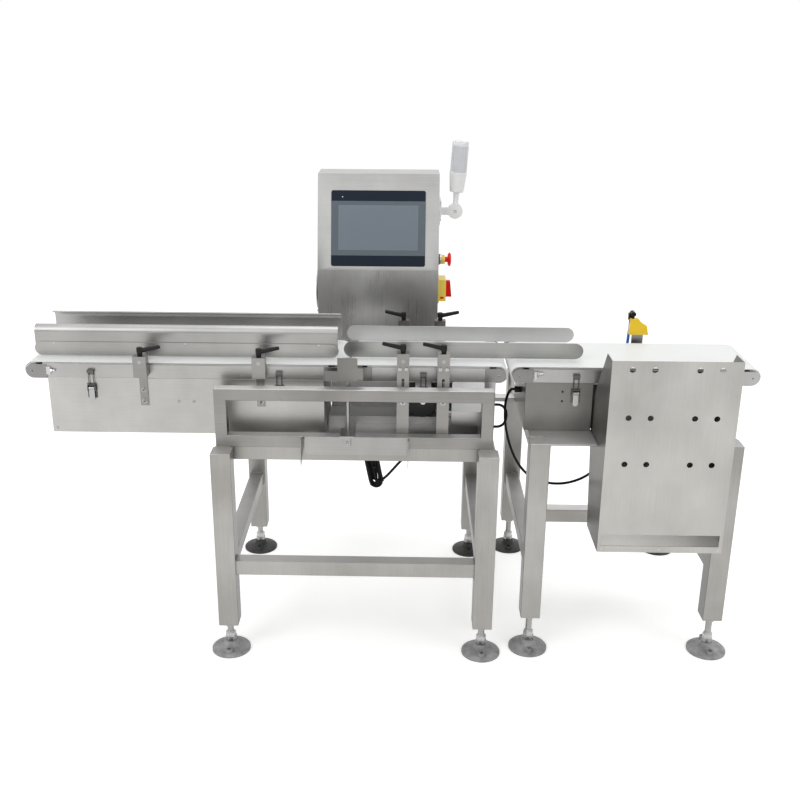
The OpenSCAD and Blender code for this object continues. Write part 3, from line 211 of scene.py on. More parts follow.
alongX = (0.6, 60, 60)
alongZ = (60, 60, 0.6)
steels = {
    "tubeSteel": {"grain": alongZ, "grainScale": 12, "dark": rgb(0.26, 0.25, 0.235),
                  "light": rgb(0.385, 0.375, 0.36), "rough": 0.34, "bump": 0.18},
    "barSteel": {"grain": alongX, "grainScale": 12, "dark": rgb(0.205, 0.198, 0.188),
                 "light": rgb(0.31, 0.30, 0.288), "rough": 0.34, "bump": 0.18},
    # pale steel for faces turned up or back: painted light
    "litFaceSteel": {"grain": alongX, "grainScale": 12, "dark": rgb(0.56, 0.55, 0.54),
                 "light": rgb(0.74, 0.73, 0.72), "rough": 0.5, "bump": 0.12},
    "coverSteel": {"grain": alongX, "grainScale": 14, "dark": rgb(0.15, 0.145, 0.138),
                   "light": rgb(0.25, 0.243, 0.232), "rough": 0.36, "bump": 0.18},
    "latchSteel": {"grain": alongZ, "grainScale": 16, "dark": rgb(0.32, 0.32, 0.315),
                   "light": rgb(0.46, 0.46, 0.455), "rough": 0.24, "bump": 0.05},
    "plateSteel": {"grain": alongZ, "grainScale": 16, "dark": rgb(0.09, 0.088, 0.085),
                   "light": rgb(0.17, 0.166, 0.16), "rough": 0.3, "bump": 0.08},
    "sheetSteel": {"grain": alongX, "grainScale": 12, "dark": rgb(0.28, 0.277, 0.27),
                   "light": rgb(0.40, 0.396, 0.385), "rough": 0.32, "bump": 0.15},
    "boxSteel": {"grain": alongX, "grainScale": 14, "dark": rgb(0.355, 0.344, 0.332),
                 "light": rgb(0.505, 0.494, 0.477), "rough": 0.35, "bump": 0.18},
    "binSteel": {"grain": alongZ, "grainScale": 12, "dark": rgb(0.335, 0.324, 0.308),
                 "light": rgb(0.475, 0.464, 0.443), "rough": 0.36, "bump": 0.15},
    "deckSteel": {"grain": alongX, "grainScale": 14, "dark": rgb(0.32, 0.316, 0.308),
                  "light": rgb(0.45, 0.445, 0.436), "rough": 0.31, "bump": 0.15},
    "cabinetSteel": {"grain": alongX, "grainScale": 12, "dark": rgb(0.42, 0.418, 0.408),
                     "light": rgb(0.56, 0.557, 0.545), "rough": 0.33, "bump": 0.16},
    # streaked steel with a darker low end: brushing streaks and painted shade
    "shadedPanelSteel": {"grain": alongZ, "grainScale": 10, "dark": rgb(0.36, 0.36, 0.355),
                   "light": rgb(0.62, 0.617, 0.61), "rough": 0.3, "bump": 0.12},
    # dark steel for faces that look along X: painted shade
    "shadedSideSteel": {"grain": alongZ, "grainScale": 12, "dark": rgb(0.12, 0.116, 0.11),
                  "light": rgb(0.22, 0.213, 0.204), "rough": 0.34, "bump": 0.15},
    # pale copy of the guide steel: painted light
    "litGuideSteel": {"grain": alongX, "grainScale": 12, "dark": rgb(0.52, 0.518, 0.51),
                   "light": rgb(0.68, 0.677, 0.668), "rough": 0.34, "bump": 0.14},
    # steel a little paler than the sheet under it, for faces turned up: painted light
    "dimLitFaceSteel": {"grain": alongX, "grainScale": 12, "dark": rgb(0.36, 0.357, 0.35),
                  "light": rgb(0.49, 0.486, 0.478), "rough": 0.46, "bump": 0.12},
    # darker copy of the deck steel: painted shade
    "shadedNoseSteel": {"grain": alongX, "grainScale": 14, "dark": rgb(0.17, 0.168, 0.164),
                  "light": rgb(0.28, 0.276, 0.27), "rough": 0.34, "bump": 0.15},
    "spindleSteel": {"grain": (60, 60, 60), "grainScale": 14, "dark": rgb(0.28, 0.277, 0.27),
                     "light": rgb(0.44, 0.435, 0.425), "rough": 0.26, "bump": 0.12},
    "traySteel": {"grain": alongX, "grainScale": 12, "dark": rgb(0.52, 0.517, 0.51),
                  "light": rgb(0.70, 0.697, 0.69), "rough": 0.34, "bump": 0.12},
    "weldSteel": {"grain": (30, 30, 30), "grainScale": 20, "dark": rgb(0.17, 0.145, 0.12),
                  "light": rgb(0.40, 0.38, 0.35), "rough": 0.4, "bump": 0.5},
    "turnedSteel": {"grain": (60, 1, 60), "grainScale": 14, "dark": rgb(0.42), "light": rgb(0.56),
                    "rough": 0.28, "bump": 0.12},
    "milledAlloy": {"grain": alongX, "grainScale": 20, "dark": rgb(0.60, 0.61, 0.62),
                    "light": rgb(0.74, 0.75, 0.76), "rough": 0.3, "bump": 0.1},
}
plastics = {
    "beltWhite": {"dark": rgb(0.74, 0.76, 0.75), "light": rgb(0.82, 0.83, 0.82), "rough": 0.42,
                  "fineScale": 420, "bump": 0.2},
    "blackPlastic": {"dark": rgb(0.006), "light": rgb(0.014), "rough": 0.42, "shine": 0.22},
    "motorBlack": {"dark": rgb(0.016, 0.016, 0.018), "light": rgb(0.035, 0.035, 0.038), "rough": 0.4},
    "padRubber": {"dark": rgb(0.008), "light": rgb(0.10), "rough": 0.5, "bump": 0.3, "fineScale": 380,
                  "cloudScale": 34, "shine": 0.3},
    # lighter pad rubber: painted light, the pads are all the same black rubber
    "litPadRubber": {"dark": rgb(0.06, 0.06, 0.061), "light": rgb(0.56, 0.56, 0.565), "rough": 0.5,
                "bump": 0.3,
                "fineScale": 380, "cloudScale": 40},
    "leadRubber": {"dark": rgb(0.003), "light": rgb(0.009), "rough": 0.4, "shine": 0.16},
    "hoseBlue": {"dark": rgb(0.01, 0.12, 0.55), "light": rgb(0.02, 0.2, 0.75), "rough": 0.25,
                 "coat": 0.3},
    "nozzleYellow": {"dark": rgb(0.92, 0.60, 0.02), "light": rgb(0.98, 0.68, 0.04), "rough": 0.35,
                     "shine": 0.3},
    "switchYellow": {"dark": rgb(0.95, 0.72, 0.10), "light": rgb(0.98, 0.78, 0.16), "rough": 0.32},
    "signalRed": {"dark": rgb(0.78, 0.008, 0.006), "light": rgb(0.9, 0.014, 0.01), "rough": 0.3,
                  "shine": 0.3},
    "lampWhite": {"dark": rgb(0.90), "light": rgb(0.95), "rough": 0.35},
    "frostGray": {"dark": rgb(0.84, 0.84, 0.87), "light": rgb(0.92, 0.92, 0.94), "rough": 0.5},
    "bezelNavy": {"dark": rgb(0.008, 0.014, 0.026), "light": rgb(0.013, 0.021, 0.036), "rough": 0.45,
                  "shine": 0.18},
    "glassGray": {"dark": rgb(0.085, 0.115, 0.14), "light": rgb(0.10, 0.13, 0.155), "rough": 0.16,
                  "bump": 0.02, "coat": 0.4},
    "glassPicture": {"dark": rgb(0.14, 0.18, 0.215), "light": rgb(0.18, 0.22, 0.26), "rough": 0.14,
                     "bump": 0.02, "coat": 0.4, "cloudScale": 3},
    "labelWhite": {"dark": rgb(0.92), "light": rgb(0.96), "rough": 0.4},
    "boardGray": {"dark": rgb(0.16, 0.165, 0.17), "light": rgb(0.24, 0.245, 0.25), "rough": 0.5},
}
finishes = {name: steelFinish(name, look) for name, look in steels.items()}
finishes.update({name: plasticFinish(name, look) for name, look in plastics.items()})
lensLook = {"color": rgb(0.90, 0.91, 0.93), "rough": 0.06, "clear": 0.7, "alpha": 0.6}
finishes["lensClear"] = clearFinish("lensClear", lensLook)
print("finishes made:", len(finishes))


def seenDirectly(tree):
    camera, glossy, through = (Wire.make(tree, "ShaderNodeLightPath", out=f"Is {kind} Ray")
                               for kind in ("Camera", "Glossy", "Transmission"))
    seen = camera + glossy + through
    return Wire.make(tree, "ShaderNodeMath", {"operation": "MINIMUM"}, {0: seen, 1: 1.0})


def setStudio():
    world = bpy.data.worlds.new("studio")
    bpy.context.scene.world = world
    world.use_nodes = True
    tree = world.node_tree
    tree.nodes.clear()
    way = Wire.make(tree, "ShaderNodeTexCoord", out="Generated")
    rise = Wire.make(tree, "ShaderNodeSeparateXYZ", None, {0: way}, out=2)
    glow = Wire.make(tree, "ShaderNodeValToRGB", {"stops": studio["sky"]}, {0: rise * 0.5 + 0.5})
    color = mixColor(tree, seenDirectly(tree), glow, studio["white"])
    sky = Wire.make(tree, "ShaderNodeBackground", None, {"Color": color, "Strength": 1.0})
    Wire.make(tree, "ShaderNodeOutputWorld", None, {"Surface": sky})
    for k, (place, size, power) in enumerate(studio["keys"]):
        light = bpy.data.lights.new(f"softbox{k}", "AREA")
        light.energy = power
        light.size = size
        lamp = bpy.data.objects.new(f"softbox{k}", light)
        bpy.context.collection.objects.link(lamp)
        lamp.location = place
        lamp.rotation_euler = (Vector(studio["aim"]) - Vector(place)).to_track_quat("-Z", "Y").to_euler()
    material, tree = newTree("floorWhite")
    cloud = noise(tree, (1, 1, 1), 2.0)
    color = mixColor(tree, cloud * 0.1, studio["floorColor"], studio["white"])
    matt = Wire.make(tree, "ShaderNodeBsdfDiffuse", None, {"Color": color})
    lift = mixColor(tree, seenDirectly(tree), rgb(0.0), rgb(studio["floorGlow"]))
    glow = Wire.make(tree, "ShaderNodeEmission", None, {"Color": lift, "Strength": 1.0})
    finishTree(tree, Wire.make(tree, "ShaderNodeAddShader", None, {0: matt, 1: glow}))
    bm = bmesh.new()
    bmesh.ops.create_grid(bm, x_segments=1, y_segments=1, size=studio["floorHalf"])
    mesh = bpy.data.meshes.new("floor")
    bm.to_mesh(mesh)
    floor = bpy.data.objects.new("floor", mesh)
    bpy.context.collection.objects.link(floor)
    mesh.materials.append(material)
    view = bpy.context.scene.view_settings
    view.view_transform = "Standard"


setCamera()
setStudio()
print("studio ready")


# CAD nodes get their finish, soft edges and smooth curves

nodeLooks = {  # node: finish, edge width in mm
    "main_stand": ("tubeSteel", 2.0), "outfeed_stand": ("tubeSteel", 2.0),
    "guard_frame": ("barSteel", 2.0), "weigh_tray": ("sheetSteel", 0.5),
    "infeed_box": ("boxSteel", 0.9), "outfeed_box": ("coverSteel", 0.9),
    "infeed_deck": ("deckSteel", 0.6), "weigh_deck": ("deckSteel", 0.6),
    "outfeed_deck": ("deckSteel", 0.6), "infeed_belt": ("beltWhite", 0.4),
    "weigh_belt": ("beltWhite", 0.4), "outfeed_belt": ("beltWhite", 0.4),
    "load_cell": ("milledAlloy", 0.8), "belt_drives": ("motorBlack", 1.5),
    "belt_covers": ("sheetSteel", 1.0), "guide_posts": ("barSteel", 1.2),
    "latch_bases": ("plateSteel", 0.3), "sensor_post": ("sheetSteel", 0.8),
    "reject_bin": ("binSteel", 0.6), "air_nozzle": ("nozzleYellow", 1.0),
    "control_cabinet": ("cabinetSteel", 1.6), "cabinet_door": ("cabinetSteel", 1.6),
    "touch_screen": ("bezelNavy", 2.0), "control_gear": ("boardGray", 1.0),
    "cabinet_fittings": ("switchYellow", 1.2), "cable_glands": ("blackPlastic", 0.8),
    "levelling_feet": ("padRubber", 1.0), "stop_button": ("signalRed", 1.0),
    "isolator_handle": ("signalRed", 2.0), "signal_lamp": ("lampWhite", 1.0),
}
for name in nodes:
    if name.endswith("_roller") or name.endswith("_pulley"):
        nodeLooks[name] = ("turnedSteel", 0.5)
    elif name.endswith("_guide"):
        nodeLooks[name] = ("deckSteel" if "rear" in name else "sheetSteel", 0.5)
    elif "_lever_" in name:
        nodeLooks[name] = ("blackPlastic", 1.0)
    elif name.endswith("_latch") or "_latch_" in name:
        nodeLooks[name] = ("latchSteel", 0.4)
    elif name.endswith("_lead") or name == "spare_hank":
        nodeLooks[name] = ("leadRubber", 0.0)
    elif name == "air_hose":
        nodeLooks[name] = ("hoseBlue", 0.0)
# the weigh rear guide gets the pale steel: painted light
nodeLooks["weigh_rear_guide"] = ("litGuideSteel", 0.5)
flatSheets = ("control_cabinet", "cabinet_door", "reject_bin", "infeed_box", "outfeed_box", "weigh_tray")
edgeAngle, flatAngle = math.radians(35), math.radians(0.4)
weldReach = 0.00001  # metres


def roundEdges(obj, width):
    if width > 0:
        bevel = obj.modifiers.new("edge", "BEVEL")
        bevel.width = width * mm
        bevel.segments = 2
        bevel.limit_method = "ANGLE"
        bevel.angle_limit = edgeAngle
    normals = obj.modifiers.new("normals", "WEIGHTED_NORMAL")
    normals.weight = 100


def softenEdges(obj, width, smooth):
    for polygon in obj.data.polygons:
        polygon.use_smooth = smooth
    weld = obj.modifiers.new("weld", "WELD")
    weld.merge_threshold = weldReach
    flat = obj.modifiers.new("flat", "DECIMATE")
    flat.decimate_type = "DISSOLVE"
    flat.angle_limit = flatAngle
    flat.delimit = {"MATERIAL"}
    roundEdges(obj, width)


for name, obj in nodes.items():
    finish, width = nodeLooks[name]
    obj.data.materials.clear()
    obj.data.materials.append(finishes[finish])
    softenEdges(obj, width, name not in flatSheets)


def paint(name, finish, test):
    obj = nodes[name]
    obj.data.materials.append(finishes[finish])
    slot = len(obj.data.materials) - 1
    for polygon in obj.data.polygons:
        x, y, z = (obj.matrix_world @ polygon.center) / mm
        if test(x, y - laneY, z, polygon.normal):
            polygon.material_index = slot


parting = {  # mm, where one finish gives way to another on the same node
    "lampPlate": 990.0, "cabBend": 883.0, "padTop": 28.2, "stop": (888.0, 928.0),
    "stopRings": (134.1, 139.1), "nozzle": (768.0, 812.5), "valve": 650.0,
    "nozzleBacks": (137.6, 143.1), "toothedSide": 117.0, "sensorFace": -152.9, "sensor": (737.0, 780.0),
    "sensorPlate": 700.0, "trayFront": -157.0, "gearPlate": 387.1, "nose": -114.6, "farNose": 800.0,
    "curl": 792.0, "cellFront": -30.0, "lowRails": 300.0, "railMiddles": (-84.0, 601.0),
    "railHalf": 170.0,
}
stopLow, stopHigh = parting["stop"]
collarEnd, ringEnd = parting["stopRings"]
nozzleLow, nozzleHigh = parting["nozzle"]
bracketBack, valveBack = parting["nozzleBacks"]
sensorLow, sensorHigh = parting["sensor"]
square = 0.9  # how far a normal points along an axis on a face that looks that way


def onSideRail(x, z):
    away = min(abs(x - middle) for middle in parting["railMiddles"])
    return z < parting["lowRails"] and away > parting["railHalf"]


paint("cabinet_fittings", "lampWhite", lambda x, y, z, n: z > parting["lampPlate"])
paint("cabinet_fittings", "blackPlastic", lambda x, y, z, n: stopLow < z < stopHigh and x < collarEnd)
paint("cabinet_fittings", "turnedSteel",
      lambda x, y, z, n: stopLow < z < stopHigh and collarEnd <= x < ringEnd)
# the front panel below the bend gets painted shade with vertical streaks
paint("control_cabinet", "shadedPanelSteel", lambda x, y, z, n: n.y < -0.98 and z < parting["cabBend"])
# the front pads get the lighter rubber: painted light
paint("levelling_feet", "litPadRubber", lambda x, y, z, n: y < 0)
paint("levelling_feet", "spindleSteel", lambda x, y, z, n: z > parting["padTop"])
paint("air_nozzle", "sheetSteel", lambda x, y, z, n: parting["valve"] < z < nozzleLow and y < bracketBack)
paint("air_nozzle", "blackPlastic",
      lambda x, y, z, n: z > nozzleHigh or z < parting["valve"] or y > valveBack)
paint("belt_drives", "leadRubber", lambda x, y, z, n: y > parting["toothedSide"])
paint("sensor_post", "blackPlastic",
      lambda x, y, z, n: y > parting["sensorFace"] and sensorLow < z < sensorHigh)
paint("weigh_tray", "traySteel", lambda x, y, z, n: y > parting["trayFront"] and n.z > -0.5)
paint("control_gear", "sheetSteel", lambda x, y, z, n: y < parting["gearPlate"])
# the decks' front nose faces are darker: painted shade
for name in ("infeed_deck", "weigh_deck", "outfeed_deck"):
    paint(name, "shadedNoseSteel", lambda x, y, z, n: y < parting["nose"] and x <= parting["farNose"])
paint("sensor_post", "coverSteel", lambda x, y, z, n: n.y < -square and z > parting["sensorPlate"])
# the bin's left-facing side gets the darker cover steel: painted shade
paint("reject_bin", "coverSteel", lambda x, y, z, n: n.x < -square)
# the curled tops of the infeed guides are paler: painted highlight
for name in ("infeed_front_guide", "infeed_rear_guide"):
    paint(name, "dimLitFaceSteel", lambda x, y, z, n: n.z > 0.3 and z > parting["curl"])
# the guard frame's top and back faces are paler: painted light
paint("guard_frame", "litFaceSteel", lambda x, y, z, n: n.z > square or n.y > square)
for name in ("main_stand", "outfeed_stand"):
    # the stands' top faces are paler: painted light
    paint(name, "litFaceSteel", lambda x, y, z, n: n.z > square)
    # the low side rails' tops get weaker painted light than the upper rails
    paint(name, "dimLitFaceSteel", lambda x, y, z, n: n.z > square and onSideRail(x, z))
    # the stands' faces that look along X are darker: painted shade
    paint(name, "shadedSideSteel", lambda x, y, z, n: abs(n.x) > square)
# the guard frame's faces that look along X are darker: painted shade
paint("guard_frame", "shadedSideSteel", lambda x, y, z, n: abs(n.x) > square)
paint("load_cell", "sheetSteel", lambda x, y, z, n: y < parting["cellFront"])
print("CAD nodes dressed")


# small shapes that the pieces below are made of


def lane(x, y, z):
    return Vector((x, y + laneY, z)) * mm


def addPiece(name, bm, finish, body, edge=0.0):
    mesh = bpy.data.meshes.new(name)
    bmesh.ops.recalc_face_normals(bm, faces=bm.faces)
    bm.to_mesh(mesh)
    bm.free()
    obj = bpy.data.objects.new(name, mesh)
    bpy.context.collection.objects.link(obj)
    mesh.materials.append(finishes[finish])
    for polygon in mesh.polygons:
        polygon.use_smooth = True
    roundEdges(obj, edge)
    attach(obj, body)
    return obj


def frameAlong(axis):
    return axis.normalized().to_track_quat("Z", "Y").to_matrix().to_4x4()


def addBlock(bm, low, high):
    low, high = Vector(low), Vector(high)
    size = high - low
    for v in bmesh.ops.create_cube(bm, size=1)["verts"]:
        v.co = (low + high) / 2 + Vector((v.co.x * size.x, v.co.y * size.y, v.co.z * size.z))


def addLathe(bm, profile, place, axis, steps=32):
    turn = Matrix.Translation(place) @ frameAlong(axis)
    rings = []
    for radius, height in profile:
        if radius <= 0:
            rings.append([bm.verts.new(turn @ Vector((0, 0, height * mm)))])
        else:
            ring = []
            for k in range(steps):
                a = math.tau * k / steps
                spot = Vector((radius * math.cos(a), radius * math.sin(a), height)) * mm
                ring.append(bm.verts.new(turn @ spot))
            rings.append(ring)
    for a, b in zip(rings, rings[1:]):
        for k in range(steps):
            n = (k + 1) % steps
            if len(a) == 1 and len(b) == 1:
                continue
            if len(a) == 1:
                bm.faces.new((a[0], b[k], b[n]))
            elif len(b) == 1:
                bm.faces.new((a[k], a[n], b[0]))
            else:
                bm.faces.new((a[k], a[n], b[n], b[k]))


def roundRect(width, height, radius, steps=6):
    points = []
    for cx, cy, start in ((1, 1, 0), (-1, 1, 90), (-1, -1, 180), (1, -1, 270)):
        for k in range(steps + 1):
            a = math.radians(start + 90 * k / steps)
            points.append((cx * (width / 2 - radius) + radius * math.cos(a),
                           cy * (height / 2 - radius) + radius * math.sin(a)))
    return points


def addPrism(bm, outline, turn, low, high):
    bottom = [bm.verts.new(turn @ Vector((x * mm, y * mm, low * mm))) for x, y in outline]
    top = [bm.verts.new(turn @ Vector((x * mm, y * mm, high * mm))) for x, y in outline]
    bm.faces.new(top)
    bm.faces.new(list(reversed(bottom)))
    for k in range(len(outline)):
        n = (k + 1) % len(outline)
        bm.faces.new((bottom[k], bottom[n], top[n], top[k]))


def hexagon(across):
    corner = across / math.sqrt(3)
    turns = [math.radians(60 * k) for k in range(6)]
    return [(corner * math.cos(a), corner * math.sin(a)) for a in turns]


def addCapScrew(bm, place, axis, radius, height):
    addLathe(bm, [(radius, 0), (radius, height * 0.8), (radius * 0.85, height), (radius * 0.52, height),
                  (radius * 0.52, height * 0.4), (0, height * 0.4)], place, axis, 18)


def addHexNut(bm, place, axis, across, height):
    addPrism(bm, hexagon(across), Matrix.Translation(place) @ frameAlong(axis), 0, height)
    stud, tip = across * 0.28, height * 1.5
    addLathe(bm, [(stud, height), (stud, height * 1.35), (across * 0.2, tip), (0, tip)], place, axis, 14)


# leads, the hose and the hank, on the routes that the CAD tubes have

leads = {
    "weighLead": {
        "nodes": ["weigh_lead"], "finish": "leadRubber", "radius": 3.5,
        "route": [(265, -70.25, 637), (271, -70.25, 637), (279, -70.25, 636.1), (288, -70.25, 631),
                  (294, -70.25, 621.1), (296, -70.25, 607), (294, -70.25, 592.9), (288, -70.25, 583),
                  (279, -70.25, 577.9), (271, -70.25, 577), (265, -70.25, 577)],
    },
    "outfeedLead": {
        "nodes": ["outfeed_lead"], "finish": "leadRubber", "radius": 3.5,
        "route": [(322, 0, 655), (315, 0, 655), (308, 0, 647), (303, 0, 633), (300, 0, 615), (300, 0, 590),
                  (302, 0, 560), (309, 0, 525), (319, 0, 492), (333, 0, 460), (351, 0, 432), (374, 0, 410),
                  (402, 0, 396), (434, 0, 389), (468, 0, 390), (500, 2, 398), (530, 9, 411), (556, 24, 428),
                  (577, 48, 448), (590, 78, 472), (597, 106, 497), (600, 128.5, 517), (600, 133.5, 526),
                  (600, 133.5, 534)],
    },
    "spareLead": {
        "nodes": ["spare_lead", "spare_hank"], "finish": "leadRubber", "radius": 3.5, "lay": "coiled",
        "route": [(70, -60, 546), (70, -60, 534), (65, -60, 519), (53, -60, 502), (38, -60, 485),
                  (22, -60, 467), (7, -60, 449), (-7, -61, 433)],
    },
    "airHose": {
        "nodes": ["air_hose"], "finish": "hoseBlue", "radius": 4.0,
        "route": [(640, 148, 806), (640, 148, 786), (638, 148, 756), (637, 148, 721), (638, 148, 681),
                  (640, 148, 646), (640, 148, 626)],
    },
}
hank = {  # the spare lead's tied turns, in X and Z
    "top": (-60, 536), "low": (-36, 418), "front": -67.0, "back": -53.0,
    "bends": (14.5, 8.0, 12.5, 7.5, 13.5, 10.0),
    "spread": ((0, 0), (7, 8), (-4, 3), (-7, -2), (2, 2), (3, 9)), "topShare": 0.8,
    "arcSteps": 7, "end": 549.0, "endSide": 3.0,
}


def hankTurns():
    line = []
    for turn, spread in enumerate(hank["spread"]):
        top = Vector(hank["top"]) + Vector((spread[0] * hank["topShare"], 0))
        low = Vector(hank["low"]) + Vector(spread)
        down = (low - top).normalized()
        side = Vector((-down.y, down.x)) * hank["bends"][turn]
        deep = down * hank["bends"][turn]
        arc = [math.pi * k / (hank["arcSteps"] - 1) for k in range(hank["arcSteps"])]
        ring = [low + side * math.cos(a) + deep * math.sin(a) for a in arc]
        ring += [(low + top) / 2 - side]
        ring += [top - side * math.cos(a) - deep * math.sin(a) for a in arc]
        ring += [(low + top) / 2 + side]
        if turn == len(hank["spread"]) - 1:
            tail = top - side
            ring = ring[:hank["arcSteps"] + 1] + [tail, Vector((tail.x - hank["endSide"], hank["end"]))]
        for k, (x, z) in enumerate(ring):
            share = (turn + k / len(ring)) / len(hank["spread"])
            line.append((x, hank["front"] + (hank["back"] - hank["front"]) * share, z))
    return line


def smoothRoute(points, steps=5):
    points = [Vector(p) for p in points]
    line = []
    for k in range(len(points) - 1):
        p0, p1 = points[max(k - 1, 0)], points[k]
        p2, p3 = points[k + 1], points[min(k + 2, len(points) - 1)]
        for j in range(steps):
            t = j / steps
            line.append(0.5 * (2 * p1 + (p2 - p0) * t + (2 * p0 - 5 * p1 + 4 * p2 - p3) * t * t
                               + (3 * p1 - p0 - 3 * p2 + p3) * t ** 3))
    line.append(points[-1])
    return line


def addLead(name, line, look):
    curve = bpy.data.curves.new(name, "CURVE")
    curve.dimensions = "3D"
    curve.bevel_depth = look["radius"] * mm
    curve.bevel_resolution = 4
    curve.use_fill_caps = True
    spline = curve.splines.new("POLY")
    spline.points.add(len(line) - 1)
    for point, place in zip(spline.points, line):
        point.co = (*lane(*place), 1)
    obj = bpy.data.objects.new(name, curve)
    bpy.context.collection.objects.link(obj)
    curve.materials.append(finishes[look["finish"]])
    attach(obj, "frame")
    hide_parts(*look["nodes"])
    length = sum((b - a).length for a, b in zip(line, line[1:])) * mm
    lane(*line[0])
    2 * look["radius"] * mm
    return length


leads["spareLead"]["route"] += hankTurns()
for name, look in leads.items():
    length = addLead(name, smoothRoute(look["route"]), look)
    print("lead laid:", name, round(length, 3), "m")


# touch screen glass and its picture area

screen = {"bezel": (271, 216), "bar": 32.0, "picture": (229, 128), "pictureUp": 2.0, "glassRise": 0.5,
          "pictureRise": 0.65, "led": (-103, 197)}
slope = {"foot": (-45.0, 377.0, 883.0), "lean": 70.0, "rise": 267.0, "up": 12.0, "thick": 7.0}
slopeTilt = math.atan2(slope["lean"], slope["rise"])
slopeUp = Vector((0, math.sin(slopeTilt), math.cos(slopeTilt)))
slopeOut = Vector((0, -math.cos(slopeTilt), math.sin(slopeTilt)))


def onSlope(x, up, out):
    return lane(*(Vector(slope["foot"]) + Vector((x, 0, 0)) + slopeUp * up + slopeOut * out))


def slopeFrame(x, up, out):
    turn = Matrix((Vector((1, 0, 0)), slopeUp, slopeOut)).transposed().to_4x4()
    return Matrix.Translation(onSlope(x, up, out)) @ turn


middleUp = slope["up"] + screen["bezel"][1] / 2
glassHigh = screen["bezel"][1] - 2 * screen["bar"] + 3
face = slopeFrame(0, middleUp, slope["thick"])
bm = bmesh.new()
addPrism(bm, roundRect(screen["bezel"][0] - 1, glassHigh, 0.6), face, -0.3, screen["glassRise"])
addPiece("screenGlass", bm, "glassGray", "frame", 0.15)
face = slopeFrame(0, middleUp + screen["pictureUp"], slope["thick"])
bm = bmesh.new()
addPrism(bm, roundRect(*screen["picture"], 1.0), face, 0.2, screen["pictureRise"])
addPiece("screenPicture", bm, "glassPicture", "frame")
ledX, ledUp = screen["led"]
place = onSlope(ledX, slope["up"] + ledUp, slope["thick"])
bm = bmesh.new()
addLathe(bm, [(1.7, -0.2), (1.7, 0.4), (1.2, 0.7), (0, 0.7)], place, slopeOut, 16)
addPiece("screenLed", bm, "labelWhite", "frame")
print("screen glazed")


# bare label plate on the weigh section's front hanger

label = {"x": (154.0, 234.0), "z": (633.0, 711.0), "face": -114.5, "thick": 1.0, "corner": 3.0}
bm = bmesh.new()
middle = lane(sum(label["x"]) / 2, label["face"], sum(label["z"]) / 2)
turn = Matrix.Translation(middle) @ Matrix.Rotation(math.radians(90), 4, "X")
wide, high = label["x"][1] - label["x"][0], label["z"][1] - label["z"][0]
addPrism(bm, roundRect(wide, high, label["corner"]), turn, 0, label["thick"])
addPiece("labelPlate", bm, "labelWhite", "frame", 0.2)


# wire guard of the fan in the cabinet's left side

fan = {"face": -220.0, "y": 450.0, "z": 811.0, "rings": (12, 24, 36, 48, 58), "wire": 1.2, "screws": 52.5,
       "stand": 5.0, "steps": 40, "spoke": (10.0, 57.0), "spokeBack": 2.0, "screw": (4.0, 4.0)}


def addWire(bm, points, radius, steps=8, closed=False):
    count = len(points)
    rings = []
    for k, p in enumerate(points):
        before = points[k - 1] if closed or k > 0 else points[k]
        after = points[(k + 1) % count] if closed or k < count - 1 else points[k]
        ahead = (after - before).normalized()
        side = ahead.orthogonal() if k == 0 else rings[-1][1] - ahead * ahead.dot(rings[-1][1])
        side.normalize()
        other = ahead.cross(side)
        ring = [bm.verts.new(p + (side * math.cos(a) + other * math.sin(a)) * radius)
                for a in (math.tau * j / steps for j in range(steps))]
        rings.append((ring, side))
    last = count if closed else count - 1
    for k in range(last):
        a, b = rings[k][0], rings[(k + 1) % count][0]
        for j in range(steps):
            n = (j + 1) % steps
            bm.faces.new((a[j], a[n], b[n], b[j]))
    if not closed:
        bm.faces.new(list(reversed(rings[0][0])))
        bm.faces.new(rings[-1][0])


bm = bmesh.new()
hub = Vector((fan["face"] - fan["stand"], fan["y"], fan["z"]))
turns = [math.tau * k / fan["steps"] for k in range(fan["steps"])]
for radius in fan["rings"]:
    ring = [lane(*(hub + Vector((0, math.cos(a), math.sin(a))) * radius)) for a in turns]
    addWire(bm, ring, fan["wire"] * mm, 6, True)
for k in range(4):
    a = math.radians(45 + 90 * k)
    out = Vector((0, math.cos(a), math.sin(a)))
    foot = hub + out * fan["screws"] * math.sqrt(2) + Vector((fan["stand"] - 1, 0, 0))
    spoke = [hub + out * reach + Vector((fan["spokeBack"], 0, 0)) for reach in fan["spoke"]]
    spoke += [foot - out * 3, foot]
    addWire(bm, [lane(*place) for place in spoke], fan["wire"] * mm, 6)
    addCapScrew(bm, lane(*(foot + Vector((1, 0, 0)))), Vector((-1, 0, 0)), *fan["screw"])
addPiece("fanGuard", bm, "turnedSteel", "frame")
blades = {"count": 7, "hub": 19.0, "tip": 53.0, "width": 27.0, "sweep": 0.8, "rim": 57.0,
          "thick": (0.5, 2.2)}  # width in degrees, sweep in degrees a mm
bm = bmesh.new()
fanFoot = lane(fan["face"], fan["y"], fan["z"])
fanTurn = Matrix.Translation(fanFoot) @ frameAlong(-Vector((1, 0, 0)))
rim, boss = blades["rim"], blades["hub"]
addLathe(bm, [(0, -0.5), (rim, -0.5), (rim, 2.2), (rim - 2, 2.6), (rim - 3, 0.8), (boss, 0.8),
              (boss - 1, 2.6), (0, 2.9)], fanFoot, -Vector((1, 0, 0)), 48)
for k in range(blades["count"]):
    start = 360 * k / blades["count"]
    spans = [boss - 2 + (blades["tip"] - boss + 2) * j / 4 for j in range(5)]
    bends = [(r, math.radians(start + (r - boss) * blades["sweep"])) for r in spans]
    outline = [(r * math.cos(a), r * math.sin(a)) for r, a in bends]
    wide = math.radians(blades["width"])
    outline += [(r * math.cos(a + wide), r * math.sin(a + wide)) for r, a in reversed(bends)]
    addPrism(bm, outline, fanTurn, *blades["thick"])
addPiece("fanFace", bm, "blackPlastic", "frame", 0.2)
print("label and fan guard on")


# signal lamp: white base and knuckle, clear lens with a frosted core

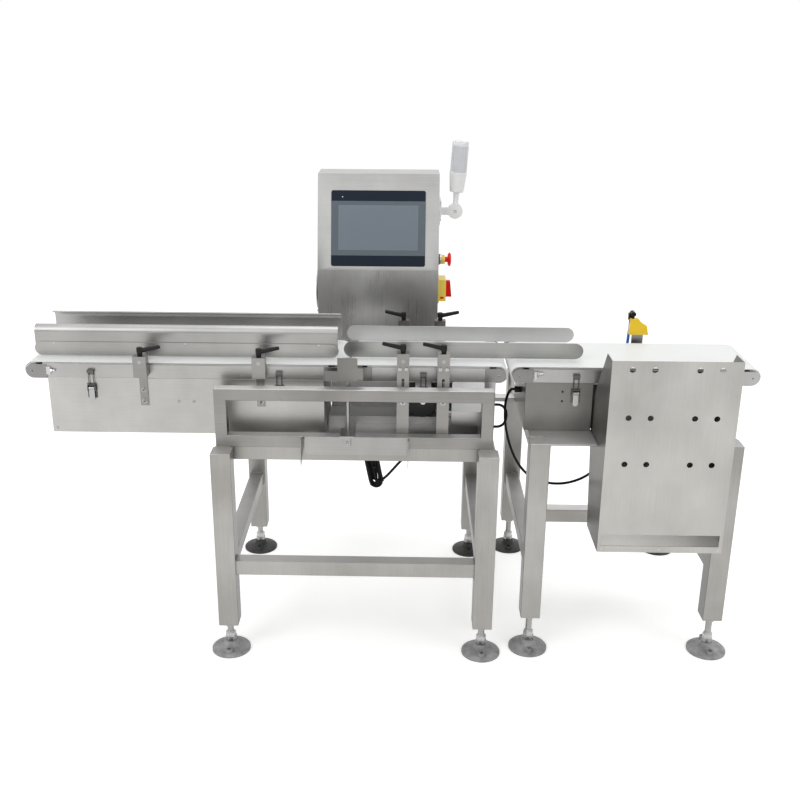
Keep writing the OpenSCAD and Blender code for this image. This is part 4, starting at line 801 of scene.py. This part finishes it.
lamp = {"knuckle": (177.5, 480.0, 1041.0), "turn": 3.5, "gap": 0.3, "half": 11.7, "stem": 54.0, "base": 57.0,
        "tall": 198.0}
lampTurn = Matrix.Translation(lane(*lamp["knuckle"])) @ Matrix.Rotation(math.radians(lamp["turn"]), 4, "Y")
lampUp = lampTurn.to_3x3() @ Vector((0, 0, 1))
lampBack = lampTurn.to_3x3() @ Vector((0, 1, 0))
half, stem, top = lamp["half"], lamp["stem"], lamp["tall"]
rim = stem + lamp["base"]  # where the base ends and the lens starts
lampSide = lampTurn @ Vector((0, lamp["gap"] * mm, 0))
lampFoot = lampTurn @ Vector((0, (lamp["gap"] + half / 2) * mm, 0))
bm = bmesh.new()
addLathe(bm, [(0, 0), (20.5, 0), (22, 1.5), (22, half - 2.5), (19.5, half), (7, half), (6, half - 1.5),
              (0, half - 1.5)], lampSide, lampBack, 40)
addLathe(bm, [(0, 16), (8, 16), (8, stem - 14), (9, stem - 12), (9, stem), (19.5, stem), (20.5, stem + 2),
              (25, rim - 6), (25.5, rim - 4), (25.5, rim), (0, rim)], lampFoot, lampUp, 40)
lampBody = addPiece("lampBase", bm, "lampWhite", "signal_lamp", 0.4)
bm = bmesh.new()
addLathe(bm, [(25, rim), (24.6, top - 6), (23.4, top - 2), (21, top), (0, top)], lampFoot, lampUp, 40)
addLathe(bm, [(22.6, rim + 0.5), (22.2, top - 7), (20.4, top - 3.5), (0, top - 3.2)], lampFoot, lampUp, 40)
addPiece("lampLens", bm, "lensClear", "signal_lamp")
bm = bmesh.new()
addLathe(bm, [(0, rim - 1), (15, rim - 1), (15, top - 14), (12, top - 11), (0, top - 11)],
         lampFoot, lampUp, 32)
addPiece("lampCore", bm, "frostGray", "signal_lamp", 0.5)
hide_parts("signal_lamp")
print("lamp built")


# screws, nuts and rivets

front, right = Vector((0, -1, 0)), Vector((1, 0, 0))
infeedPosts, weighPosts = (-616.0, -323.0), (31.5, 130.0)
rivetX = (-849.0, -517.0, -180.0)
fasteners = {
    "boxScrews": {"kind": "cap", "finish": "turnedSteel", "axis": front, "size": (3.6, 2.4),
                  "places": [(-531, -114.5, 651), (-493, -114.5, 651), (-846, -114.5, 576)]},
    # black discs in place of two holes: painted shade of the holes
    "boxHoleShades": {"kind": "cap", "finish": "blackPlastic", "axis": front, "size": (2.6, 1.2),
                 "places": [(428, -114.5, 688.6), (428, -114.5, 664)]},
    "strapScrews": {"kind": "cap", "finish": "spindleSteel", "axis": front, "size": (4.2, 5.0),
                    "washer": 7.0,
                    "places": [(x, -117.5, z) for x in infeedPosts for z in (683, 653)]},
    "rearStrapScrews": {"kind": "cap", "finish": "turnedSteel", "axis": -front, "size": (4.6, 5.0),
                        "washer": 8.0,
                        "places": [(x, 117.5, z) for x in infeedPosts for z in (683, 653)]},
    "postScrews": {"kind": "cap", "finish": "turnedSteel", "axis": front, "size": (4.2, 4.5),
                   "washer": 6.5,
                   "places": [(x, -158, 671) for x in weighPosts]},
    "postNuts": {"kind": "hex", "finish": "turnedSteel", "axis": front, "size": (8.0, 4.0),
                 "places": [(x + dx, -158, 757) for x in weighPosts for dx in (-8, 8)]},
    "clampScrew": {"kind": "cap", "finish": "turnedSteel", "axis": front, "size": (4.0, 4.0),
                   "places": [(-104, -200, 579)]},
    "frontRivets": {"kind": "dome", "finish": "turnedSteel", "axis": front, "size": (3.0, 1.6),
                    "body": "infeed_front_guide", "places": [(x, -65.5, 786) for x in rivetX]},
    "rearRivets": {"kind": "dome", "finish": "turnedSteel", "axis": front, "size": (3.0, 1.6),
                   "body": "infeed_rear_guide", "places": [(x, 100.5, 786) for x in rivetX]},
    "lampScrews": {"kind": "cap", "finish": "turnedSteel", "axis": right, "size": (3.6, 3.0),
                   "places": [(134, 470, 1016), (134, 470, 1066), (134, 490, 1016), (134, 490, 1066)]},
    "knuckleScrew": {"kind": "cap", "finish": "turnedSteel", "axis": front, "size": (4.4, 1.8),
                     "places": [(177.5, 468, 1041)]},
    "binRivets": {"kind": "dome", "finish": "turnedSteel", "axis": front, "size": (3.2, 1.4),
                  "places": [(516, -293, 348), (656, -293, 348), (797, -293, 348)]},
}


def addDome(bm, place, axis, radius, height):
    addLathe(bm, [(radius, 0), (radius * 0.92, height * 0.45), (radius * 0.6, height * 0.85), (0, height)],
             place, axis, 16)


makers = {"cap": addCapScrew, "hex": addHexNut, "dome": addDome}
for name, look in fasteners.items():
    bm = bmesh.new()
    for place in look["places"]:
        if "washer" in look:
            rim = look["washer"]
            washer = [(0, 0), (rim, 0), (rim, 1.0), (rim - 0.4, 1.4), (0, 1.4)]
            addLathe(bm, washer, lane(*place), look["axis"], 24)
        makers[look["kind"]](bm, lane(*place), look["axis"], *look["size"])
    addPiece(name, bm, look["finish"], look.get("body", "frame"))
print("fasteners on:", sum(len(look["places"]) for look in fasteners.values()))


# belt tension bolts behind the front nose plates

tension = {
    "blocks": [(-856.2, -846), (355, 362)],  # along X
    "studs": [(-846, -834, 731, 3.0), (362, 378, 735, 4.0)],  # start, end, height, radius
    "face": -114.5, "thick": 6.0, "z": (721, 741),
}
bm = bmesh.new()
low, high = tension["z"]
for x0, x1 in tension["blocks"]:
    addBlock(bm, lane(x0, tension["face"] - tension["thick"], low), lane(x1, tension["face"], high))
for x0, x1, z, radius in tension["studs"]:
    place = lane(x0, tension["face"] - tension["thick"] / 2 - 1, z)
    addHexNut(bm, place, right, radius * 3.0, 5.0)
    addLathe(bm, [(radius, 0), (radius, x1 - x0 - 1), (radius - 1, x1 - x0), (0, x1 - x0)], place, right, 16)
addPiece("tensionBolts", bm, "turnedSteel", "frame", 0.5)


# tie round the hank

tie = {"share": 0.16, "room": 4.0, "wire": 1.6}
top, low = Vector(hank["top"]), Vector(hank["low"])
down = (low - top).normalized()
side = Vector((-down.y, down.x))
middle = top + (low - top) * tie["share"]
half = hank["bends"][0] + tie["room"]
bm = bmesh.new()
line = []
for across, deep in roundRect(2 * half, hank["back"] - hank["front"] + 2 * tie["room"], 6):
    point = middle + side * across
    line.append(lane(point.x, (hank["front"] + hank["back"]) / 2 + deep, point.y))
addWire(bm, line, tie["wire"] * mm, 8, True)
addPiece("hankTie", bm, "labelWhite", "frame")
print("tension bolts and tie on")


# cooling fins on the weigh motor, which shows through the guard window

fins = {"at": (81.7, 636.2), "y": (-60.0, 64.0), "step": 8.0, "thick": 2.4, "radius": 39.5, "root": 37.5}
bm = bmesh.new()
count = int((fins["y"][1] - fins["y"][0]) / fins["step"])
root, rim, thick = fins["root"], fins["radius"], fins["thick"]
for k in range(count):
    y = fins["y"][0] + k * fins["step"]
    addLathe(bm, [(root, 0), (rim, 0.4), (rim, thick - 0.4), (root, thick)],
             lane(fins["at"][0], y, fins["at"][1]), -front, 40)
addPiece("motorFins", bm, "motorBlack", "frame")


# quarter-turn locks on the cabinet's door and the isolator's small window

locks = {"x": -205.0, "face": 557.0, "z": (640.0, 1020.0)}
bm = bmesh.new()
for z in locks["z"]:
    place = lane(locks["x"], locks["face"], z)
    addLathe(bm, [(11, -0.5), (11, 3), (9.5, 4.2), (6, 4.2), (6, 2.2), (0, 2.2)], place, -front, 32)
    addBlock(bm, place + Vector((-1.6, 1.0, -5.0)) * mm, place + Vector((1.6, 4.0, 5.0)) * mm)
addPiece("doorLocks", bm, "turnedSteel", "cabinet_door", 0.3)
window = {"x": (137.0, 147.0), "face": 393.0, "z": (798.0, 804.0)}
bm = bmesh.new()
corners = [lane(x, window["face"] + y, z) for x, y, z in zip(window["x"], (-0.8, 1.0), window["z"])]
addBlock(bm, *corners)
addPiece("isolatorWindow", bm, "signalRed", "frame", 0.3)


# weld beads where the rails meet the legs

bead = {"radius": 2.0, "wobble": 0.35, "steps": 5}
mainStand = {"x": (-436.0, 267.0), "y": (-238.0, 377.0), "heights": ((522.0, 560.0), (228.0, 266.0))}
outfeedStand = {"x": (342.5, 860.5), "y": (-211.0, 404.0), "heights": ((548.0, 586.0), (228.0, 266.0))}
legWide, railWide = 50.0, 38.0


def footPlaces(stand):
    half = legWide / 2
    return [(x, y) for x in (stand["x"][0] + half, stand["x"][1] - half)
            for y in (stand["y"][0] + half, stand["y"][1] - half)]


def addBead(bm, corners):
    points = []
    for a, b in zip(corners, corners[1:] + corners[:1]):
        a, b = Vector(a), Vector(b)
        for k in range(bead["steps"]):
            ripple = bead["wobble"] * (1 if k % 2 else -1)
            points.append(lane(*(a + (b - a) * k / bead["steps"] + Vector((ripple, 0, ripple)))))
    addWire(bm, points, bead["radius"] * mm, 8, True)


bm = bmesh.new()
inset = (legWide - railWide) / 2
for stand in (mainStand, outfeedStand):
    for x in (stand["x"][0] + inset, stand["x"][1] - inset - railWide):
        for y in (stand["y"][0] + legWide, stand["y"][1] - legWide):
            for z0, z1 in stand["heights"]:
                addBead(bm, [(x, y, z0), (x + railWide, y, z0), (x + railWide, y, z1), (x, y, z1)])
for x in (mainStand["x"][0] + legWide, mainStand["x"][1] - legWide):
    y = mainStand["y"][0] + inset
    z0, z1 = mainStand["heights"][1]
    addBead(bm, [(x, y, z0), (x, y + railWide, z0), (x, y + railWide, z1), (x, y, z1)])
addPiece("weldBeads", bm, "weldSteel", "frame")
print("fins, locks and welds on")


# threads on the levelling studs

thread = {"radius": 7.7, "wire": 0.75, "pitch": 2.5, "steps": 14, "low": 38.0, "high": (72.0, 91.0)}
bm = bmesh.new()
for stand, high in zip((mainStand, outfeedStand), thread["high"]):
    count = int((high - thread["low"]) / thread["pitch"]) * thread["steps"]
    for x, y in footPlaces(stand):
        line = []
        for k in range(count + 1):
            a = math.tau * k / thread["steps"]
            z = thread["low"] + thread["pitch"] * k / thread["steps"]
            line.append(lane(x + thread["radius"] * math.cos(a), y + thread["radius"] * math.sin(a), z))
        addWire(bm, line, thread["wire"] * mm, 6)
addPiece("footThreads", bm, "spindleSteel", "frame")


# dark angle strip from the outfeed box's end toward the bin: painted shade filling the gap between them

gapShade = {"x": 503.2, "y": -100.0, "wide": 21.0, "deep": 16.0, "thick": 1.5, "low": 586.3, "high": 704.0}
wide, deep, thick = gapShade["wide"], gapShade["deep"], gapShade["thick"]
outline = [(0, 0), (wide, 0), (wide, thick), (thick, thick), (thick, deep), (0, deep)]
bm = bmesh.new()
addPrism(bm, outline, Matrix.Translation(lane(gapShade["x"], gapShade["y"], 0)), gapShade["low"], gapShade["high"])
addPiece("gapShadeStrip", bm, "plateSteel", "frame", 0.4)


# jam nuts over the pads

jam = {"across": 23.0, "low": 37.8, "high": 52.0, "collar": 9.6, "collarHigh": 54.5, "bore": 7.0}
bm = bmesh.new()
for x, y in footPlaces(mainStand) + footPlaces(outfeedStand):
    foot = Matrix.Translation(lane(x, y, 0)) @ Matrix.Rotation(math.radians(x % 60), 4, "Z")
    addPrism(bm, hexagon(jam["across"]), foot, jam["low"], jam["high"])
    addLathe(bm, [(jam["collar"] + 0.6, jam["high"] - 0.5), (jam["collar"], jam["collarHigh"]),
                  (jam["bore"], jam["collarHigh"])], lane(x, y, 0), Vector((0, 0, 1)), 28)
addPiece("jamNuts", bm, "turnedSteel", "frame", 0.8)


# terminals, vents and keypads on the gear behind the cabinet's door

gear = {
    "blocks": [(-170, -70, 728, 828, 432, "vents"), (-50, 80, 728, 828, 457, "lights")]
    + [(-170 + 85 * k, -95 + 85 * k, 590, 700, 467, "keypad") for k in range(3)],
    "strip": (8.0, 7.0), "stripEnd": 12, "pitch": 10.5, "screw": (2.6, 1.4), "screwEnd": 16,
    "vents": (7, 8.0), "ventEnd": 26, "lightPanel": 44, "panelEnd": 30,
    "lights": (8, 9.4), "lightFoot": (32, 12), "keypad": (46, 38), "key": (8, 6),
    "keyX": (-15, -4), "keyZ": (-8, 4), "dial": (8.5, 9.0), "dialX": 12,
}


def facing(x, y, z):
    return Matrix.Translation(lane(x, y, z)) @ Matrix.Rotation(math.radians(-90), 4, "X")


strips, screws, panels, lights = (bmesh.new() for k in range(4))
for x0, x1, z0, z1, face, kind in gear["blocks"]:
    middle = (x0 + x1) / 2
    high, deep = gear["strip"]
    for z in (z0 + gear["stripEnd"], z1 - gear["stripEnd"]):
        outline = roundRect(x1 - x0 - gear["stripEnd"], high, 1.5)
        addPrism(strips, outline, facing(middle, face, z), -0.5, deep)
        count = int((x1 - x0 - gear["screwEnd"]) / gear["pitch"])
        for k in range(count):
            x = middle + (k - (count - 1) / 2) * gear["pitch"]
            addCapScrew(screws, lane(x, face + deep, z), -front, *gear["screw"])
    z = (z0 + z1) / 2
    if kind == "vents":
        count, step = gear["vents"]
        for k in range(count):
            place = facing(middle, face, z + (k - (count - 1) / 2) * step)
            addPrism(panels, roundRect(x1 - x0 - gear["ventEnd"], 3.2, 1.5), place, -0.5, 1.8)
    elif kind == "lights":
        outline = roundRect(x1 - x0 - gear["panelEnd"], gear["lightPanel"], 4)
        addPrism(panels, outline, facing(middle, face, z), -0.5, 2.0)
        count, step = gear["lights"]
        dx, dz = gear["lightFoot"]
        for k in range(count):
            addDome(lights, lane(x0 + dx + step * k, face + 1.9, z + dz), -front, 1.7, 1.2)
    else:
        addPrism(panels, roundRect(*gear["keypad"], 3), facing(middle, face, z), -0.5, 2.2)
        for dx in gear["keyX"]:
            for dz in gear["keyZ"]:
                addPrism(lights, roundRect(*gear["key"], 1.5), facing(middle + dx, face, z + dz), 2.0, 3.2)
        radius, tall = gear["dial"]
        addLathe(panels, [(radius, 2), (radius, tall - 1.5), (radius - 1.5, tall), (0, tall)],
                 lane(middle + gear["dialX"], face, z), -front, 28)
for name, bm, finish in (("gearStrips", strips, "blackPlastic"), ("gearScrews", screws, "spindleSteel"),
                         ("gearPanels", panels, "motorBlack"), ("gearKeys", lights, "labelWhite")):
    addPiece(name, bm, finish, "frame", 0.2 if bm in (strips, panels) else 0.0)
print("threads and control gear dressed")
